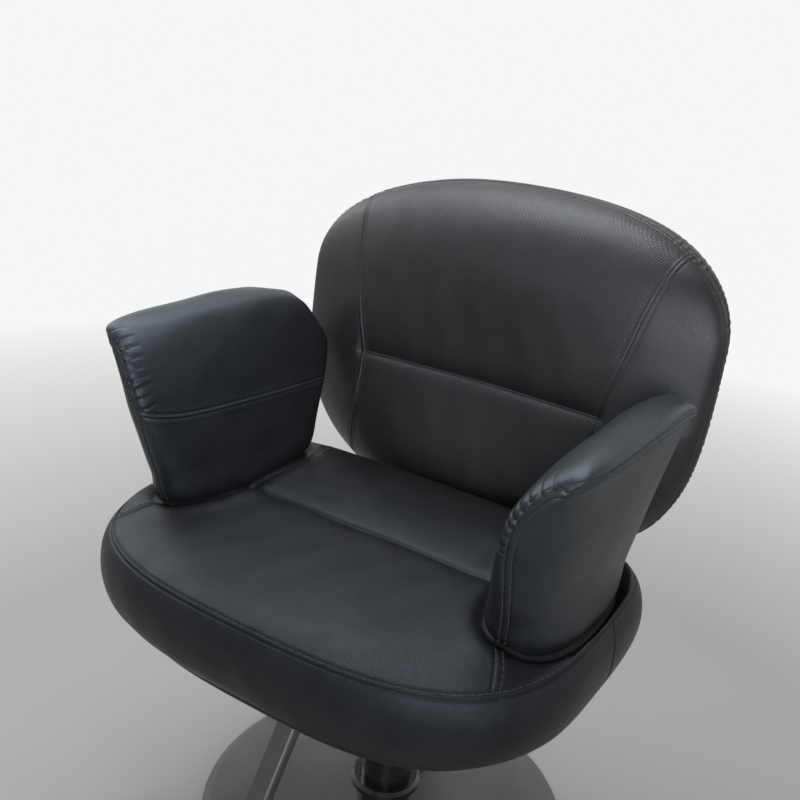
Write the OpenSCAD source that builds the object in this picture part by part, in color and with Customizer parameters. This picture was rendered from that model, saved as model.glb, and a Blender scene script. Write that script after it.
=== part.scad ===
// Barber chair with a padded seat, wing arms, a rounded back and a foot pumped column.
// Millimetres. The chair faces -Y, and the origin is on the floor on the pump's axis.

/* [Base] */
// Radius of the base plate
base_r = 290; // [240:1:330]
// Thickness of the base plate
base_t = 13.4; // [10:0.1:18]
// Width of the bevel round the plate's top edge
base_bevel = 13.6; // [6:0.1:20]
// Height of the plain edge under the bevel
base_edge = 2; // [1:0.1:4]
// Thickness of the rubber pad under the plate
floor_pad_t = 3; // [2:0.1:6]
// Distance from the plate's edge to the rubber pad
floor_pad_inset = 10; // [4:1:20]

/* [Pump] */
// Radius of the moving sleeve
sleeve_r = 39.5; // [38:0.5:42]
// Wall of the moving sleeve
sleeve_wall = 4.5; // [3:0.1:5]
// Radius of the fixed housing under the collar
housing_r = 42; // [41:0.5:46]
// Height of the fixed housing above the plate
housing_h = 45.6; // [40:0.1:55]
// Outer radius of the collar ring
collar_r = 55; // [50:0.5:58]
// Height of the collar ring
collar_h = 13; // [8:0.5:16]
// Chamfer round the collar's top edge
collar_chamfer = 5; // [2:0.5:7]
// Outer radius of the fixed cylinder
cylinder_r = 34; // [30:0.5:34]
// Bore radius of the fixed cylinder
cylinder_bore_r = 18; // [16:0.5:22]
// Gap between the cylinder's gland and the lift head at the lowest place
gland_clear = 4.7; // [0.7:0.1:20]
// Thickness of the closed bottom of the cylinder
cylinder_floor = 12; // [8:1:20]
// Height of the gland that closes the cylinder
gland_h = 14; // [10:1:16]
// Radius of the piston rod
rod_r = 14; // [10:0.5:15]
// Height of the piston
piston_h = 18; // [12:1:30]
// Rise of the piston above the cylinder's floor at the lowest place
piston_lift = 4; // [2:0.5:10]
// Thickness of the disc on top of the sleeve
head_t = 18; // [12:1:24]
// Radius of the spigot that the seat turns on
spigot_r = 24; // [20:0.5:26]
// Gap between the spigot's top and the seat bracket's plate
spigot_gap = 3; // [1:0.5:5]

/* [Pump flange] */
// Radius of the flange under the base plate
flange_r = 77; // [70:1:85]
// Thickness of the flange
flange_t = 6; // [5:0.5:8]
// Radius of the circle of flange bolts
flange_bolt_ring_r = 56; // [50:1:62]
// Radius of every large bolt's shank
bolt_r = 4; // [3:0.1:5]
// Radius of every large bolt's head
bolt_head_r = 7; // [6:0.1:9]
// Height of every large bolt's head
bolt_head_h = 5; // [4:0.1:7]
// How far a large bolt goes into wood
bolt_grip = 11; // [8:0.5:14]
// How far a flange bolt goes into the base plate
flange_bolt_grip = 4; // [3:0.5:5]

/* [Pedal] */
// Distance from the pump's axis to the pedal's pin
pedal_pin_y = 70; // [68:1:76]
// Height of the pin above the base plate
pedal_pin_rise = 43.6; // [42:0.1:48]
// Radius of the pedal's pin
pedal_pin_r = 4; // [3:0.1:5]
// Thickness of the lever, side to side
lever_w = 12; // [8:0.5:16]
// Height of the lever
lever_h = 12; // [10:0.5:14]
// Radius of the eye round the lever's pin
lever_eye_r = 8; // [7:0.1:9]
// Distance from the pump's axis to the lever's end
lever_reach = 330; // [300:1:350]
// Rise of the lever from its pin to its end
lever_rise = 12; // [0:1:20]
// Thickness of each ear beside the lever
ear_t = 9; // [6:0.5:14]
// Distance from the pump's axis to the plunger
plunger_y = 96; // [94:1:100]
// Radius of the plunger
plunger_r = 6; // [5:0.1:7]
// Length of the plunger
plunger_h = 20; // [16:0.5:20]
// Width of the pedal's pad
pad_w = 70; // [50:1:90]
// Length of the pedal's pad
pad_l = 50; // [40:1:60]
// Thickness of the pedal's pad
pad_t = 10; // [6:0.5:14]

/* [Seat] */
// Half of the seat's width at its edge seam
seat_half_w = 335; // [328:1:350]
// Distance from the pump's axis to the front of the seat
seat_front = 366; // [340:1:400]
// Distance from the pump's axis to the rear of the seat
seat_rear = 112; // [100:1:114]
// Distance from the pump's axis to the crease, where the seat is widest
seat_crease = 106; // [90:1:120]
// Height of the edge seam above the floor
seat_seam_z = 535; // [520:1:545]
// Rise of the crown above the edge seam
seat_rise = 26; // [15:1:35]
// Height of the band below the edge seam
seat_band_h = 104; // [90:1:110]
// Depth of the crease across the seat
seat_crease_depth = 7; // [3:0.5:12]
// Half of the crease's width
seat_crease_w = 16; // [10:1:30]
// Swell of the band beyond the seam
seat_swell = 14; // [2:0.5:16]
// Thickness of the plywood seat board
board_t = 18; // [14:1:20]
// Thickness of the fabric under the seat board
underside_t = 1; // [0.5:0.1:2]

/* [Arms] */
// Distance from the seat's edge seam in to the arm's outer face at the seat
arm_inset = 9; // [5:1:15]
// Width of the arm at the seat
arm_w = 120; // [108:1:126]
// Outward lean of the inner face from the seat to the top
arm_inner_flare = 100; // [60:1:105]
// Outward lean of the outer face
arm_outer_flare = 23; // [10:1:30]
// Distance from the pump's axis to the arm's front at the seat
arm_front = 218; // [200:1:230]
// Forward lean of the arm's front
arm_front_lean = 45; // [20:1:55]
// Distance from the seat's rear forward to the arm's rear at the seat
arm_setback = 58; // [54:1:82]
// Rearward lean of the arm's rear
arm_rear_lean = 102; // [60:1:106]
// Height of the arm's top above the seat's edge seam
arm_top_rise = 263; // [235:1:280]
// Fall of the arm's top from its middle to its rear
arm_top_drop = 21; // [0:1:25]
// Thickness of the flat bar in each arm
arm_bar_t = 8; // [5:0.5:10]
// Width of the flat bar in each arm
arm_bar_w = 60; // [40:1:70]
// Height of the flat bar above the seat seam
arm_bar_rise = 115; // [80:1:130]
// Distance from the arm's outer face in to the flat bar
arm_bar_inset = 55; // [52:1:58]
// Length of the flat bar's foot
arm_foot_l = 84; // [70:1:88]

/* [Back] */
// How far the back is wider than the seat's edge seam, at each side
back_over = 2; // [-8:1:8]
// Height of the back's top above the seat's edge seam
back_top_rise = 438; // [415:1:455]
// Drop of the back's bottom below the seat's edge seam
back_bottom_drop = 71; // [61:1:77]
// Height at which the back is widest, above the seat's edge seam
back_wide_rise = 272; // [260:1:280]
// Height of the crease across the back, above the seat's edge seam
back_crease_rise = 162; // [145:1:185]
// Distance from the seat's rear to the middle of the back's edge seam, at the widest height
back_plane_gap = 168; // [164:1:178]
// How far the sides of the back come forward of its middle
back_wrap = 60; // [30:1:70]
// Recline of the back's rear from upright, in degrees
back_tilt = 6; // [5:0.1:8]
// Distance from the seat's rear to the back's face at the crease
back_face_gap = 20; // [18:1:26]
// Recline of the back's face from upright, in degrees
back_face_tilt = 10.8; // [10:0.1:12]
// Thickness of the cushion at its edge
back_edge_t = 12; // [8:1:16]
// Depth of the hollow down the middle of the back
back_hollow = 20; // [5:1:22]
// Half of the width of the middle panel
back_panel_w = 208; // [190:1:220]
// Depth of the crease across the back
back_crease_depth = 8; // [4:0.5:12]
// Half of the crease's width
back_crease_w = 14; // [10:1:25]
// Thickness of the plywood back board
back_board_t = 12; // [9:1:15]
// Thickness of the rear cover
back_cover_t = 22; // [18:1:28]
// Thickness of the steel bars that carry the back
back_bar_t = 8; // [5:0.5:9]
// Width of the steel bars that carry the back
back_bar_w = 50; // [40:1:60]
// Distance from the middle to each steel bar
back_bar_x = 125; // [123:1:130]
// Rise of the steel bars above the back's bottom
back_bar_rise = 176; // [150:1:190]

/* [Seat bracket] */
// Width of the seat bracket's plate
bracket_w = 180; // [160:1:180]
// Length of the seat bracket's plate
bracket_l = 160; // [140:1:180]
// Thickness of the seat bracket's plate and of the other feet under the seat
bracket_t = 6; // [5:0.5:8]
// Outer radius of the bracket's socket
socket_r = 38; // [34:1:44]
// Length of the bracket's socket
socket_h = 38; // [30:1:44]
// Height of the ribs beside the socket
rib_h = 28; // [16:1:32]
// Thickness of the thrust washer
washer_t = 3; // [2:0.5:5]

/* [Footrest] */
// Width of the footrest's flat tube
foot_tube_w = 31; // [24:1:36]
// Depth of the footrest's flat tube
foot_tube_d = 20; // [16:1:24]
// Radius of the tube's rounded edges
foot_tube_edge = 6; // [3:0.5:8]
// Distance from the pump's axis to the top of the tube
foot_tube_y = 205; // [195:1:220]
// Angle of the tube from upright, in degrees
foot_tube_tilt = 35; // [30:0.5:38]
// Drop of the crossbar below the footrest's foot plate
crossbar_drop = 265; // [237:1:272]
// Radius of the crossbar
crossbar_r = 12.5; // [10:0.5:15]
// Length of the crossbar
crossbar_l = 340; // [280:1:380]
// Thickness of the rubber grips
grip_t = 3.5; // [2:0.5:5]
// Length of each rubber grip
grip_l = 130; // [100:1:135]
// Length of each end cap beyond the crossbar
cap_l = 4; // [3:0.5:8]
// Length of the footrest's foot plate
foot_plate_l = 80; // [70:1:90]
// Width of the footrest's foot plate
foot_plate_w = 110; // [100:1:130]

/* [Hidden] */
// Clearance between turning or sliding faces
run_gap = 0.3;
// Clearance between soft pieces and what they meet
soft_gap = 0.5;
// Clearance round a bolt in its hole
bolt_gap = 0.1;
// Overrun of every cut
cut = 1;
// Smoothness of round pieces
round_n = 96;
// Smoothness of bolts and pins
bolt_n = 32;

// Heights of the stack, from the floor up
base_top_z = floor_pad_t + base_t;
flange_z = floor_pad_t + run_gap;
recess_z = flange_z + flange_t;
housing_top_z = base_top_z + housing_h;
collar_top_z = housing_top_z + collar_h;
collar_bore_r = sleeve_r + (housing_r - sleeve_r) / 5;
plate_hole_r = cylinder_r + run_gap;
board_z = seat_seam_z - seat_band_h - board_t;
foot_z = board_z - bracket_t;
socket_z = foot_z - socket_h;
head_top_z = socket_z - washer_t;
head_z = head_top_z - head_t;
cylinder_top_z = head_z - gland_clear - gland_h;
cylinder_h = cylinder_top_z - recess_z;
sleeve_z = housing_top_z + run_gap;
piston_z = recess_z + cylinder_floor + piston_lift;
bolt_pocket_r = bolt_r + bolt_gap;

// The arms and the back follow the seat
arm_top_z = seat_seam_z + arm_top_rise;
arm_rear = seat_rear - arm_setback;
arm_outer = seat_half_w - arm_inset;
arm_inner = arm_outer - arm_w;
arm_bar_x = arm_outer - arm_bar_inset;
back_half_w = seat_half_w + back_over;
back_top_z = seat_seam_z + back_top_rise;
back_bottom_z = seat_seam_z - back_bottom_drop;
back_wide_z = seat_seam_z + back_wide_rise;
back_crease_z = seat_seam_z + back_crease_rise;
back_plane_y = seat_rear + back_plane_gap;
back_face_y = seat_rear + back_face_gap;
crossbar_z = foot_z - crossbar_drop;

// Middle of the arms' bars, foot of the arms' padding and place of the crossbar
arm_bar_mid = (arm_front - arm_rear) / 2;
arm_base_z = seat_seam_z + seat_rise / 2;
crossbar_y = foot_tube_y + (foot_z - crossbar_z) * tan(foot_tube_tilt);

// Pedal places
pin_z = base_top_z + pedal_pin_rise;
lever_low_z = pin_z - lever_h / 2;
yoke_top_z = lever_low_z - lever_eye_r;
yoke_end_y = plunger_y + plunger_r * 2;
yoke_half_w = lever_w / 2 + run_gap + ear_t;
plunger_top_z = lever_low_z - run_gap;
plunger_low_z = plunger_top_z - plunger_h;
spring_h = plunger_r * 1.5;
spring_wall = plunger_r / 4;

// Bolt places, as half distances from the middle of each plate
bracket_bolt_x = bracket_w / 2 - bolt_head_r * 2;
bracket_bolt_y = bracket_l / 2 - bolt_head_r * 2;
foot_bolt_x = foot_plate_w / 2 - bolt_head_r * 1.7;
foot_bolt_y = foot_plate_l / 2 - bolt_head_r * 1.7;
arm_bolt_x1 = arm_bar_x - arm_foot_l + bolt_head_r * 2;
arm_bolt_x2 = arm_bolt_x1 + bolt_head_r * 4;
bar_leg_y = -bracket_t * 2;
bar_bolt_ys = [bolt_head_r * 2, bolt_head_r * 10];
back_bolt_rises = [back_bar_rise - bolt_head_r * 2, back_bar_rise - bolt_head_r * 12];

// Reach of the rear cover's flat middle, curve of the back board behind the bars, and length of the bolts into it
back_flat_x = back_bar_x + back_bar_w;
back_board_curve = back_wrap * pow(back_bar_x / back_half_w, 2);
back_bolt_l = back_bar_t + back_cover_t + back_board_curve - back_board_t / 4;

// Curve powers: 2 is an ellipse, and a greater power is boxier
seat_front_power = 3;
seat_rear_power = 5;
seat_crown_power = 4;
seat_crown_soft = 1.6;
back_top_power = 2.3;
back_low_power = 3.4;
back_face_power = 3.2;
back_low_extra = 3.6;
back_face_soft = 2.2;
back_low_soft = 1.6;
arm_outer_power = 2.4;
arm_outer_tail_power = 2.3;
arm_inner_tail_power = 4;
arm_base_power = 2.4;
arm_nose_share = 0.48;
arm_tail_share = 0.4;
arm_mid_share = 0.52;
seat_board_share = 0.9;
underside_share = 0.86;
back_pocket_share = 0.94;
board_shares = [0.3, 0.6, 0.92];

// Places round a padded outline, from its low end (-1) through its crease (0) to its high end (1)
turn_shares = [0.06, 0.16, 0.3, 0.45, 0.6, 0.73, 0.84, 0.92, 0.97, 0.993];
loop_shares = concat([-1], [for (i = [len(turn_shares) - 1 : -1 : 0]) -turn_shares[i]], [0], turn_shares, [1]);
// Rings of the crowned faces, from the middle out
crown_shares = [0.1, 0.25, 0.42, 0.58, 0.72, 0.83, 0.91, 0.96, 0.99];
// The seat's band below its seam: swell beyond the seam, drawing in, and drop
seat_band_shares = [
    [0, 0, 0], [0.6, 0, 0.15], [1, 0, 0.4], [0.9, 0, 0.62], [0.5, 0, 0.78], [0, 0.1, 0.9], [0, 0.4, 0.98], [0, 1, 1]
];
seat_draw = seat_half_w * 0.1;
// The arm from the seat up: height, front lean, rear lean, inner flare, outer flare, nose and tail
arm_level_shares = [
    [0.13, 0.18, 0.2, 0.07, 0.04, 0.42, 0.36],
    [0.25, 0.4, 0.38, 0.15, 0.14, 0.38, 0.34],
    [0.39, 0.64, 0.6, 0.25, 0.3, 0.34, 0.34],
    [0.55, 0.89, 0.82, 0.36, 0.52, 0.3, 0.36],
    [0.69, 1, 0.92, 0.44, 0.72, 0.28, 0.42],
    [0.79, 1, 0.9, 0.5, 0.88, 0.32, 0.5],
    [0.86, 0.93, 0.84, 0.58, 1, 0.4, 0.58],
    [0.92, 0.8, 0.74, 0.69, 1.12, 0.55, 0.66],
    [0.96, 0.6, 0.6, 0.8, 1.12, 0.7, 0.72],
    [0.985, 0.25, 0.3, 0.92, 0.95, 0.78, 0.72],
    [1, -0.5, -0.4, 1, 0.3, 0.5, 0.5]
];
// Curve power of the arm's inner front corner at the same heights
arm_corner_powers = [2.4, 2.6, 3, 4, 5, 5.5, 5, 4, 3.4, 2.8, 2.4];
// The rear cover from its middle out, then into its pocket: ring and depth
cover_face_shares = [[0.4, 1], [0.75, 1], [0.88, 0.93], [0.95, 0.75], [0.99, 0.45], [1, 0.2]];

// Half width at place v of an outline that is widest at mid and runs from low to high
function outline_half(v, low, mid, high, half, low_power, high_power) =
    let (power = v < mid ? low_power : high_power)
    let (reach = v < mid ? mid - low : high - mid)
    half * pow(max(0, 1 - pow(abs(v - mid) / reach, power)), 1 / power);

// Place inside the same outline, from 0 in its middle to 1 on its edge
function outline_share(u, v, low, mid, high, half, low_power, high_power) =
    let (power = v < mid ? low_power : high_power)
    let (reach = v < mid ? mid - low : high - mid)
    min(1, pow(pow(abs(u) / half, power) + pow(abs(v - mid) / reach, power), 1 / power));

// Soft valley of unit depth at distance d from its line
function valley(d, width) = exp(-pow(d / width, 2));

// A loop of [half width, place] pairs for the right side, closed by its mirror image
function mirror_loop(side) =
    let (last = len(side) - 1)
    concat(side, [for (i = [last - 1 : -1 : 1]) [-side[i][0], side[i][1]]]);

// Closed solid through rings of equal length, with a point at each end; turned picks the other diagonals
module skin(rings, first_point, last_point, turned = false) {
    n = len(rings[0]);
    count = len(rings);
    points = concat([for (ring = rings) each ring], [first_point, last_point]);
    walls = [
        for (k = [0 : count - 2])
            for (j = [0 : n - 1])
                let (a = k * n + j, b = k * n + (j + 1) % n)
                each turned ? [[a, b, a + n], [b, b + n, a + n]] : [[a, b, b + n], [a, b + n, a + n]]
    ];
    first_cap = [for (j = [0 : n - 1]) [count * n, (j + 1) % n, j]];
    last_cap = [for (j = [0 : n - 1]) [count * n + 1, (count - 1) * n + j, (count - 1) * n + (j + 1) % n]];
    polyhedron(points, concat(walls, first_cap, last_cap));
}

// Rounded plate with exact corners
module rounded_plate(w, l, t, r) {
    linear_extrude(t) {
        square([w - 2 * r, l], center = true);
        square([w, l - 2 * r], center = true);
        for (sx = [-1, 1])
            for (sy = [-1, 1])
                translate([sx * (w / 2 - r), sy * (l / 2 - r)])
                    circle(r, $fn = bolt_n);
    }
}

// Bolt with its head below z 0 and its shank above
module bolt(shank) {
    translate([0, 0, -bolt_head_h])
        cylinder(r = bolt_head_r, h = bolt_head_h, $fn = bolt_n);
    cylinder(r = bolt_r, h = shank, $fn = bolt_n);
}

// Hole for such a bolt's shank
module bolt_hole(shank) {
    translate([0, 0, -cut])
        cylinder(r = bolt_pocket_r, h = shank + cut, $fn = bolt_n);
}

// Children at the four corners of a rectangle
module at_corners(x, y) {
    for (sx = [-1, 1])
        for (sy = [-1, 1])
            translate([sx * x, sy * y])
                children();
}

// Ring with a rectangular section
module tube(outer, inner, h) {
    difference() {
        cylinder(r = outer, h = h, $fn = round_n);
        translate([0, 0, -cut])
            cylinder(r = inner, h = h + 2 * cut, $fn = round_n);
    }
}

// Base
module floor_pad() {
    color("#151515")
        cylinder(r = base_r - floor_pad_inset, h = floor_pad_t, $fn = round_n);
}

module flange_bolt_places() {
    for (i = [0 : 5])
        rotate([0, 0, 60 * i])
            translate([flange_bolt_ring_r, 0])
                children();
}

module base_plate() {
    color("#1c1c1e")
        difference() {
            rotate_extrude($fn = round_n)
                polygon([
                    [plate_hole_r, recess_z],
                    [flange_r + run_gap, recess_z],
                    [flange_r + run_gap, floor_pad_t],
                    [base_r, floor_pad_t],
                    [base_r, floor_pad_t + base_edge],
                    [base_r - base_bevel, base_top_z],
                    [plate_hole_r, base_top_z]
                ]);
            flange_bolt_places()
                translate([0, 0, recess_z - cut])
                    cylinder(r = bolt_pocket_r, h = flange_bolt_grip + 2 * cut, $fn = bolt_n);
        }
}

module flange_bolt(grow, extra) {
    translate([0, 0, flange_z - extra])
        cylinder(r = bolt_r + grow, h = flange_t + flange_bolt_grip + extra, $fn = bolt_n);
    translate([0, 0, flange_z - extra])
        cylinder(r1 = bolt_head_r + grow, r2 = bolt_r + grow, h = bolt_r + extra, $fn = bolt_n);
}

module pump_flange() {
    color("#2a2a2c")
        difference() {
            translate([0, 0, flange_z])
                cylinder(r = flange_r, h = flange_t, $fn = round_n);
            flange_bolt_places()
                flange_bolt(bolt_gap, bolt_gap);
        }
}

module flange_bolts() {
    color("#8a8a8c")
        flange_bolt_places()
            flange_bolt(0, 0);
}

// Pump
module pump_housing() {
    yoke_start_y = pedal_pin_y - lever_eye_r * 1.5;
    color("#101012")
        difference() {
            union() {
                translate([0, 0, base_top_z])
                    cylinder(r = housing_r, h = housing_h, $fn = round_n);
                translate([-yoke_half_w, 0, base_top_z])
                    cube([2 * yoke_half_w, yoke_end_y, yoke_top_z - base_top_z]);
                for (side = [-1, 1])
                    translate([side * (yoke_half_w - ear_t / 2) - ear_t / 2, yoke_start_y, yoke_top_z - cut])
                        cube([ear_t, lever_eye_r * 3, pin_z + lever_eye_r - yoke_top_z + cut]);
            }
            translate([0, 0, base_top_z - cut])
                cylinder(r = plate_hole_r, h = housing_h + 2 * cut, $fn = round_n);
            translate([0, plunger_y, plunger_low_z - spring_h])
                cylinder(r = plunger_r + run_gap, h = plunger_h + spring_h, $fn = bolt_n);
            translate([-yoke_half_w - cut, pedal_pin_y, pin_z])
                rotate([0, 90, 0])
                    cylinder(r = pedal_pin_r + bolt_gap, h = 2 * (yoke_half_w + cut), $fn = bolt_n);
        }
}

module pump_collar() {
    color("#1a1a1c")
        rotate_extrude($fn = round_n)
            polygon([
                [collar_bore_r, housing_top_z],
                [collar_r, housing_top_z],
                [collar_r, collar_top_z - collar_chamfer],
                [collar_r - collar_chamfer, collar_top_z],
                [collar_bore_r, collar_top_z]
            ]);
}

module pump_cylinder() {
    color("#77777a")
        difference() {
            translate([0, 0, recess_z])
                cylinder(r = cylinder_r, h = cylinder_h, $fn = round_n);
            translate([0, 0, recess_z + cylinder_floor])
                cylinder(r = cylinder_bore_r, h = cylinder_h, $fn = round_n);
        }
}

module cylinder_gland() {
    color("#b08a3c")
        translate([0, 0, cylinder_top_z])
            tube(cylinder_r, rod_r + run_gap, gland_h);
}

module pedal_pin() {
    color("#8a8a8c")
        translate([-yoke_half_w, pedal_pin_y, pin_z])
            rotate([0, 90, 0])
                cylinder(r = pedal_pin_r, h = 2 * yoke_half_w, $fn = bolt_n);
}

module pedal_lever() {
    color("#1c1c1e")
        translate([-lever_w / 2, pedal_pin_y, pin_z])
            rotate([90, 0, 90])
                linear_extrude(lever_w)
                    difference() {
                        union() {
                            circle(lever_eye_r, $fn = bolt_n);
                            polygon([
                                [0, -lever_h / 2],
                                [yoke_end_y - pedal_pin_y, -lever_h / 2],
                                [lever_reach - pedal_pin_y, lever_rise - lever_h / 2],
                                [lever_reach - pedal_pin_y, lever_rise + lever_h / 2],
                                [lever_reach - pedal_pin_y - pad_l, lever_rise + lever_h / 2],
                                [yoke_end_y - pedal_pin_y, lever_h / 2],
                                [0, lever_h / 2]
                            ]);
                        }
                        circle(pedal_pin_r + run_gap, $fn = bolt_n);
                    }
}

module pedal_pad() {
    color("#111111")
        translate([0, lever_reach - pad_l / 2, pin_z + lever_rise + lever_h / 2])
            rounded_plate(pad_w, pad_l, pad_t, pad_t / 2);
}

module pump_plunger() {
    color("#9a9a9c")
        translate([0, plunger_y, plunger_low_z])
            cylinder(r = plunger_r, h = plunger_h, $fn = bolt_n);
}

module plunger_spring() {
    color("#707072")
        translate([0, plunger_y, plunger_low_z - spring_h])
            tube(plunger_r, plunger_r - spring_wall, spring_h);
}

module piston() {
    color("#808083")
        translate([0, 0, piston_z])
            cylinder(r = cylinder_bore_r - run_gap, h = piston_h, $fn = round_n);
}

module piston_rod() {
    color("#c8c8cc")
        translate([0, 0, piston_z + piston_h])
            cylinder(r = rod_r, h = head_z - piston_z - piston_h, $fn = round_n);
}

module pump_sleeve() {
    color("#0c0c0e")
        translate([0, 0, sleeve_z])
            tube(sleeve_r, sleeve_r - sleeve_wall, head_z - sleeve_z);
}

module lift_head() {
    color("#141416") {
        translate([0, 0, head_z])
            cylinder(r = sleeve_r, h = head_t, $fn = round_n);
        translate([0, 0, head_top_z])
            cylinder(r = spigot_r, h = foot_z - spigot_gap - head_top_z, $fn = round_n);
    }
}

module thrust_washer() {
    color("#b08a3c")
        translate([0, 0, head_top_z])
            tube(socket_r, spigot_r + run_gap, washer_t);
}

// Seat
function seat_outline_half(y) =
    outline_half(y, -seat_front, -seat_crease, seat_rear, seat_half_w, seat_front_power, seat_rear_power);

function seat_side() = [
    for (t = loop_shares)
        let (y = -seat_crease + t * (t < 0 ? seat_front - seat_crease : seat_rear + seat_crease))
        [seat_outline_half(y), y]
];

function seat_top(x, y) =
    let (s = outline_share(x, y, -seat_front, -seat_crease, seat_rear, seat_half_w,
        seat_front_power, seat_rear_power))
    let (crown = pow(1 - pow(s, seat_crown_power), 1 / seat_crown_soft))
    let (crease = valley(y + seat_crease, seat_crease_w) * (1 - pow(s, 2)))
    seat_seam_z + seat_rise * crown - seat_crease_depth * crease;

function seat_crown_ring(s) = [
    for (p = mirror_loop(seat_side()))
        let (x = p[0] * s, y = -seat_crease + (p[1] + seat_crease) * s)
        [x, y, seat_top(x, y)]
];

// Ring of the band, moved out by the swell and in by the drawing in
function seat_band_ring(row) =
    let (grow = (seat_swell * row[0] - seat_draw * row[1]) / seat_half_w)
    [
        for (p = mirror_loop(seat_side()))
            [p[0] * (1 + grow), -seat_crease + (p[1] + seat_crease) * (1 + grow),
            seat_seam_z - seat_band_h * row[2]]
    ];

function seat_loop(share) = [
    for (p = mirror_loop(seat_side()))
        [p[0] * share, -seat_crease + (p[1] + seat_crease) * share]
];

module arm_bar_slot(low, high) {
    for (side = [-1, 1])
        translate([side * arm_bar_x, -arm_bar_mid, (low + high) / 2])
            cube([arm_bar_t + 2 * soft_gap, arm_bar_w + 2 * soft_gap, high - low], center = true);
}

module seat_bracket() {
    color("#1c1c1e")
        difference() {
            union() {
                translate([0, 0, socket_z])
                    cylinder(r = socket_r, h = socket_h, $fn = round_n);
                translate([0, 0, foot_z])
                    rounded_plate(bracket_w, bracket_l, bracket_t, bolt_head_r);
                for (turn = [0, 90, 180, 270])
                    rotate([90, 0, turn])
                        translate([0, 0, -bracket_t / 2])
                            linear_extrude(bracket_t)
                                polygon([
                                    [socket_r - cut, foot_z - rib_h],
                                    [socket_r - cut, foot_z + cut],
                                    [bracket_l / 2 - bolt_head_r, foot_z + cut],
                                    [bracket_l / 2 - bolt_head_r, foot_z - cut]
                                ]);
            }
            translate([0, 0, socket_z - cut])
                cylinder(r = spigot_r + run_gap, h = socket_h + cut, $fn = round_n);
            at_corners(bracket_bolt_x, bracket_bolt_y)
                translate([0, 0, foot_z])
                    bolt_hole(bracket_t + cut);
        }
}

module bracket_bolts() {
    color("#8a8a8c")
        at_corners(bracket_bolt_x, bracket_bolt_y)
            translate([0, 0, foot_z])
                bolt(bracket_t + bolt_grip);
}

module arm_bolt_places() {
    for (side = [-1, 1])
        for (x = [arm_bolt_x1, arm_bolt_x2])
            translate([side * x, -arm_bar_mid, foot_z])
                children();
}

module footrest_bolt_places() {
    translate([0, -foot_tube_y, foot_z])
        at_corners(foot_bolt_x, foot_bolt_y)
            children();
}

module bar_bolt_places() {
    for (side = [-1, 1])
        for (y = bar_bolt_ys)
            translate([side * back_bar_x, y, board_z - back_bar_t])
                children();
}

module seat_board() {
    color("#b98f5a")
        difference() {
            translate([0, 0, board_z])
                linear_extrude(board_t)
                    polygon(seat_loop(seat_board_share));
            arm_bar_slot(board_z - cut, board_z + board_t + cut);
            at_corners(bracket_bolt_x, bracket_bolt_y)
                translate([0, 0, foot_z])
                    bolt_hole(bracket_t + bolt_grip);
            arm_bolt_places()
                bolt_hole(bracket_t + bolt_grip);
            footrest_bolt_places()
                bolt_hole(bracket_t + bolt_grip);
            bar_bolt_places()
                bolt_hole(back_bar_t + bolt_grip);
        }
}

module seat_cushion() {
    low_z = seat_seam_z - seat_band_h;
    rings = concat(
        [for (s = crown_shares) seat_crown_ring(s)],
        [for (row = seat_band_shares) seat_band_ring(row)]
    );
    color("#1d1f22")
        difference() {
            skin(rings, [0, -seat_crease, seat_top(0, -seat_crease)], [0, -seat_crease, low_z]);
            arm_bar_slot(low_z - cut, seat_seam_z + seat_rise + cut);
        }
}

module underside_cover() {
    color("#202022")
        translate([0, 0, board_z - underside_t])
            difference() {
                linear_extrude(underside_t)
                    polygon(seat_loop(underside_share));
                translate([0, 0, -cut]) {
                    rounded_plate(bracket_w + 2 * soft_gap, bracket_l + 2 * soft_gap, underside_t + 2 * cut,
                        bolt_head_r);
                    translate([0, -foot_tube_y, 0])
                        rounded_plate(foot_plate_w + 2 * soft_gap, foot_plate_l + 2 * soft_gap,
                            underside_t + 2 * cut, bolt_head_r);
                    for (side = [-1, 1]) {
                        translate([side * back_bar_x - back_bar_w / 2 - soft_gap, bar_leg_y - soft_gap, 0])
                            cube([back_bar_w + 2 * soft_gap, seat_rear * 2, underside_t + 2 * cut]);
                        translate([side * (arm_bar_x + arm_bar_t / 2 - arm_foot_l / 2), -arm_bar_mid,
                            underside_t / 2 + cut])
                            cube([arm_foot_l + arm_bar_t, arm_bar_w + 2 * soft_gap, underside_t + 2 * cut],
                                center = true);
                    }
                }
            }
}

// Arms
// Loop of the arm's section: its nose and tail sit between the inner and outer faces by a share
function arm_loop(front, rear, inner, outer, nose_share, tail_share, corner_power) =
    let (nose = inner + (outer - inner) * nose_share, tail = inner + (outer - inner) * tail_share)
    let (mid = -front + (rear + front) * arm_mid_share)
    let (ys = [for (t = loop_shares) t < 0 ? mid + t * (mid + front) : mid + t * (rear - mid)])
    let (last = len(ys) - 1)
    concat(
        [for (y = ys)
            let (spine = nose + (tail - nose) * (y + front) / (rear + front))
            [spine + outline_half(y, -front, mid, rear, outer - spine, arm_outer_power, arm_outer_tail_power), y]],
        [for (i = [last - 1 : -1 : 1])
            let (y = ys[i], spine = nose + (tail - nose) * (y + front) / (rear + front))
            [spine - outline_half(y, -front, mid, rear, spine - inner, corner_power, arm_inner_tail_power), y]]
    );

function arm_base_ring() = [
    for (p = arm_loop(arm_front, arm_rear, arm_inner, arm_outer, arm_nose_share, arm_tail_share, arm_base_power))
        [p[0], p[1], seat_top(p[0], p[1]) + soft_gap]
];

// Fall of the arm's top behind its middle
function arm_fall(y) = arm_top_drop * pow(max(0, y + arm_bar_mid) / (arm_rear + arm_rear_lean + arm_bar_mid), 2);

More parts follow.
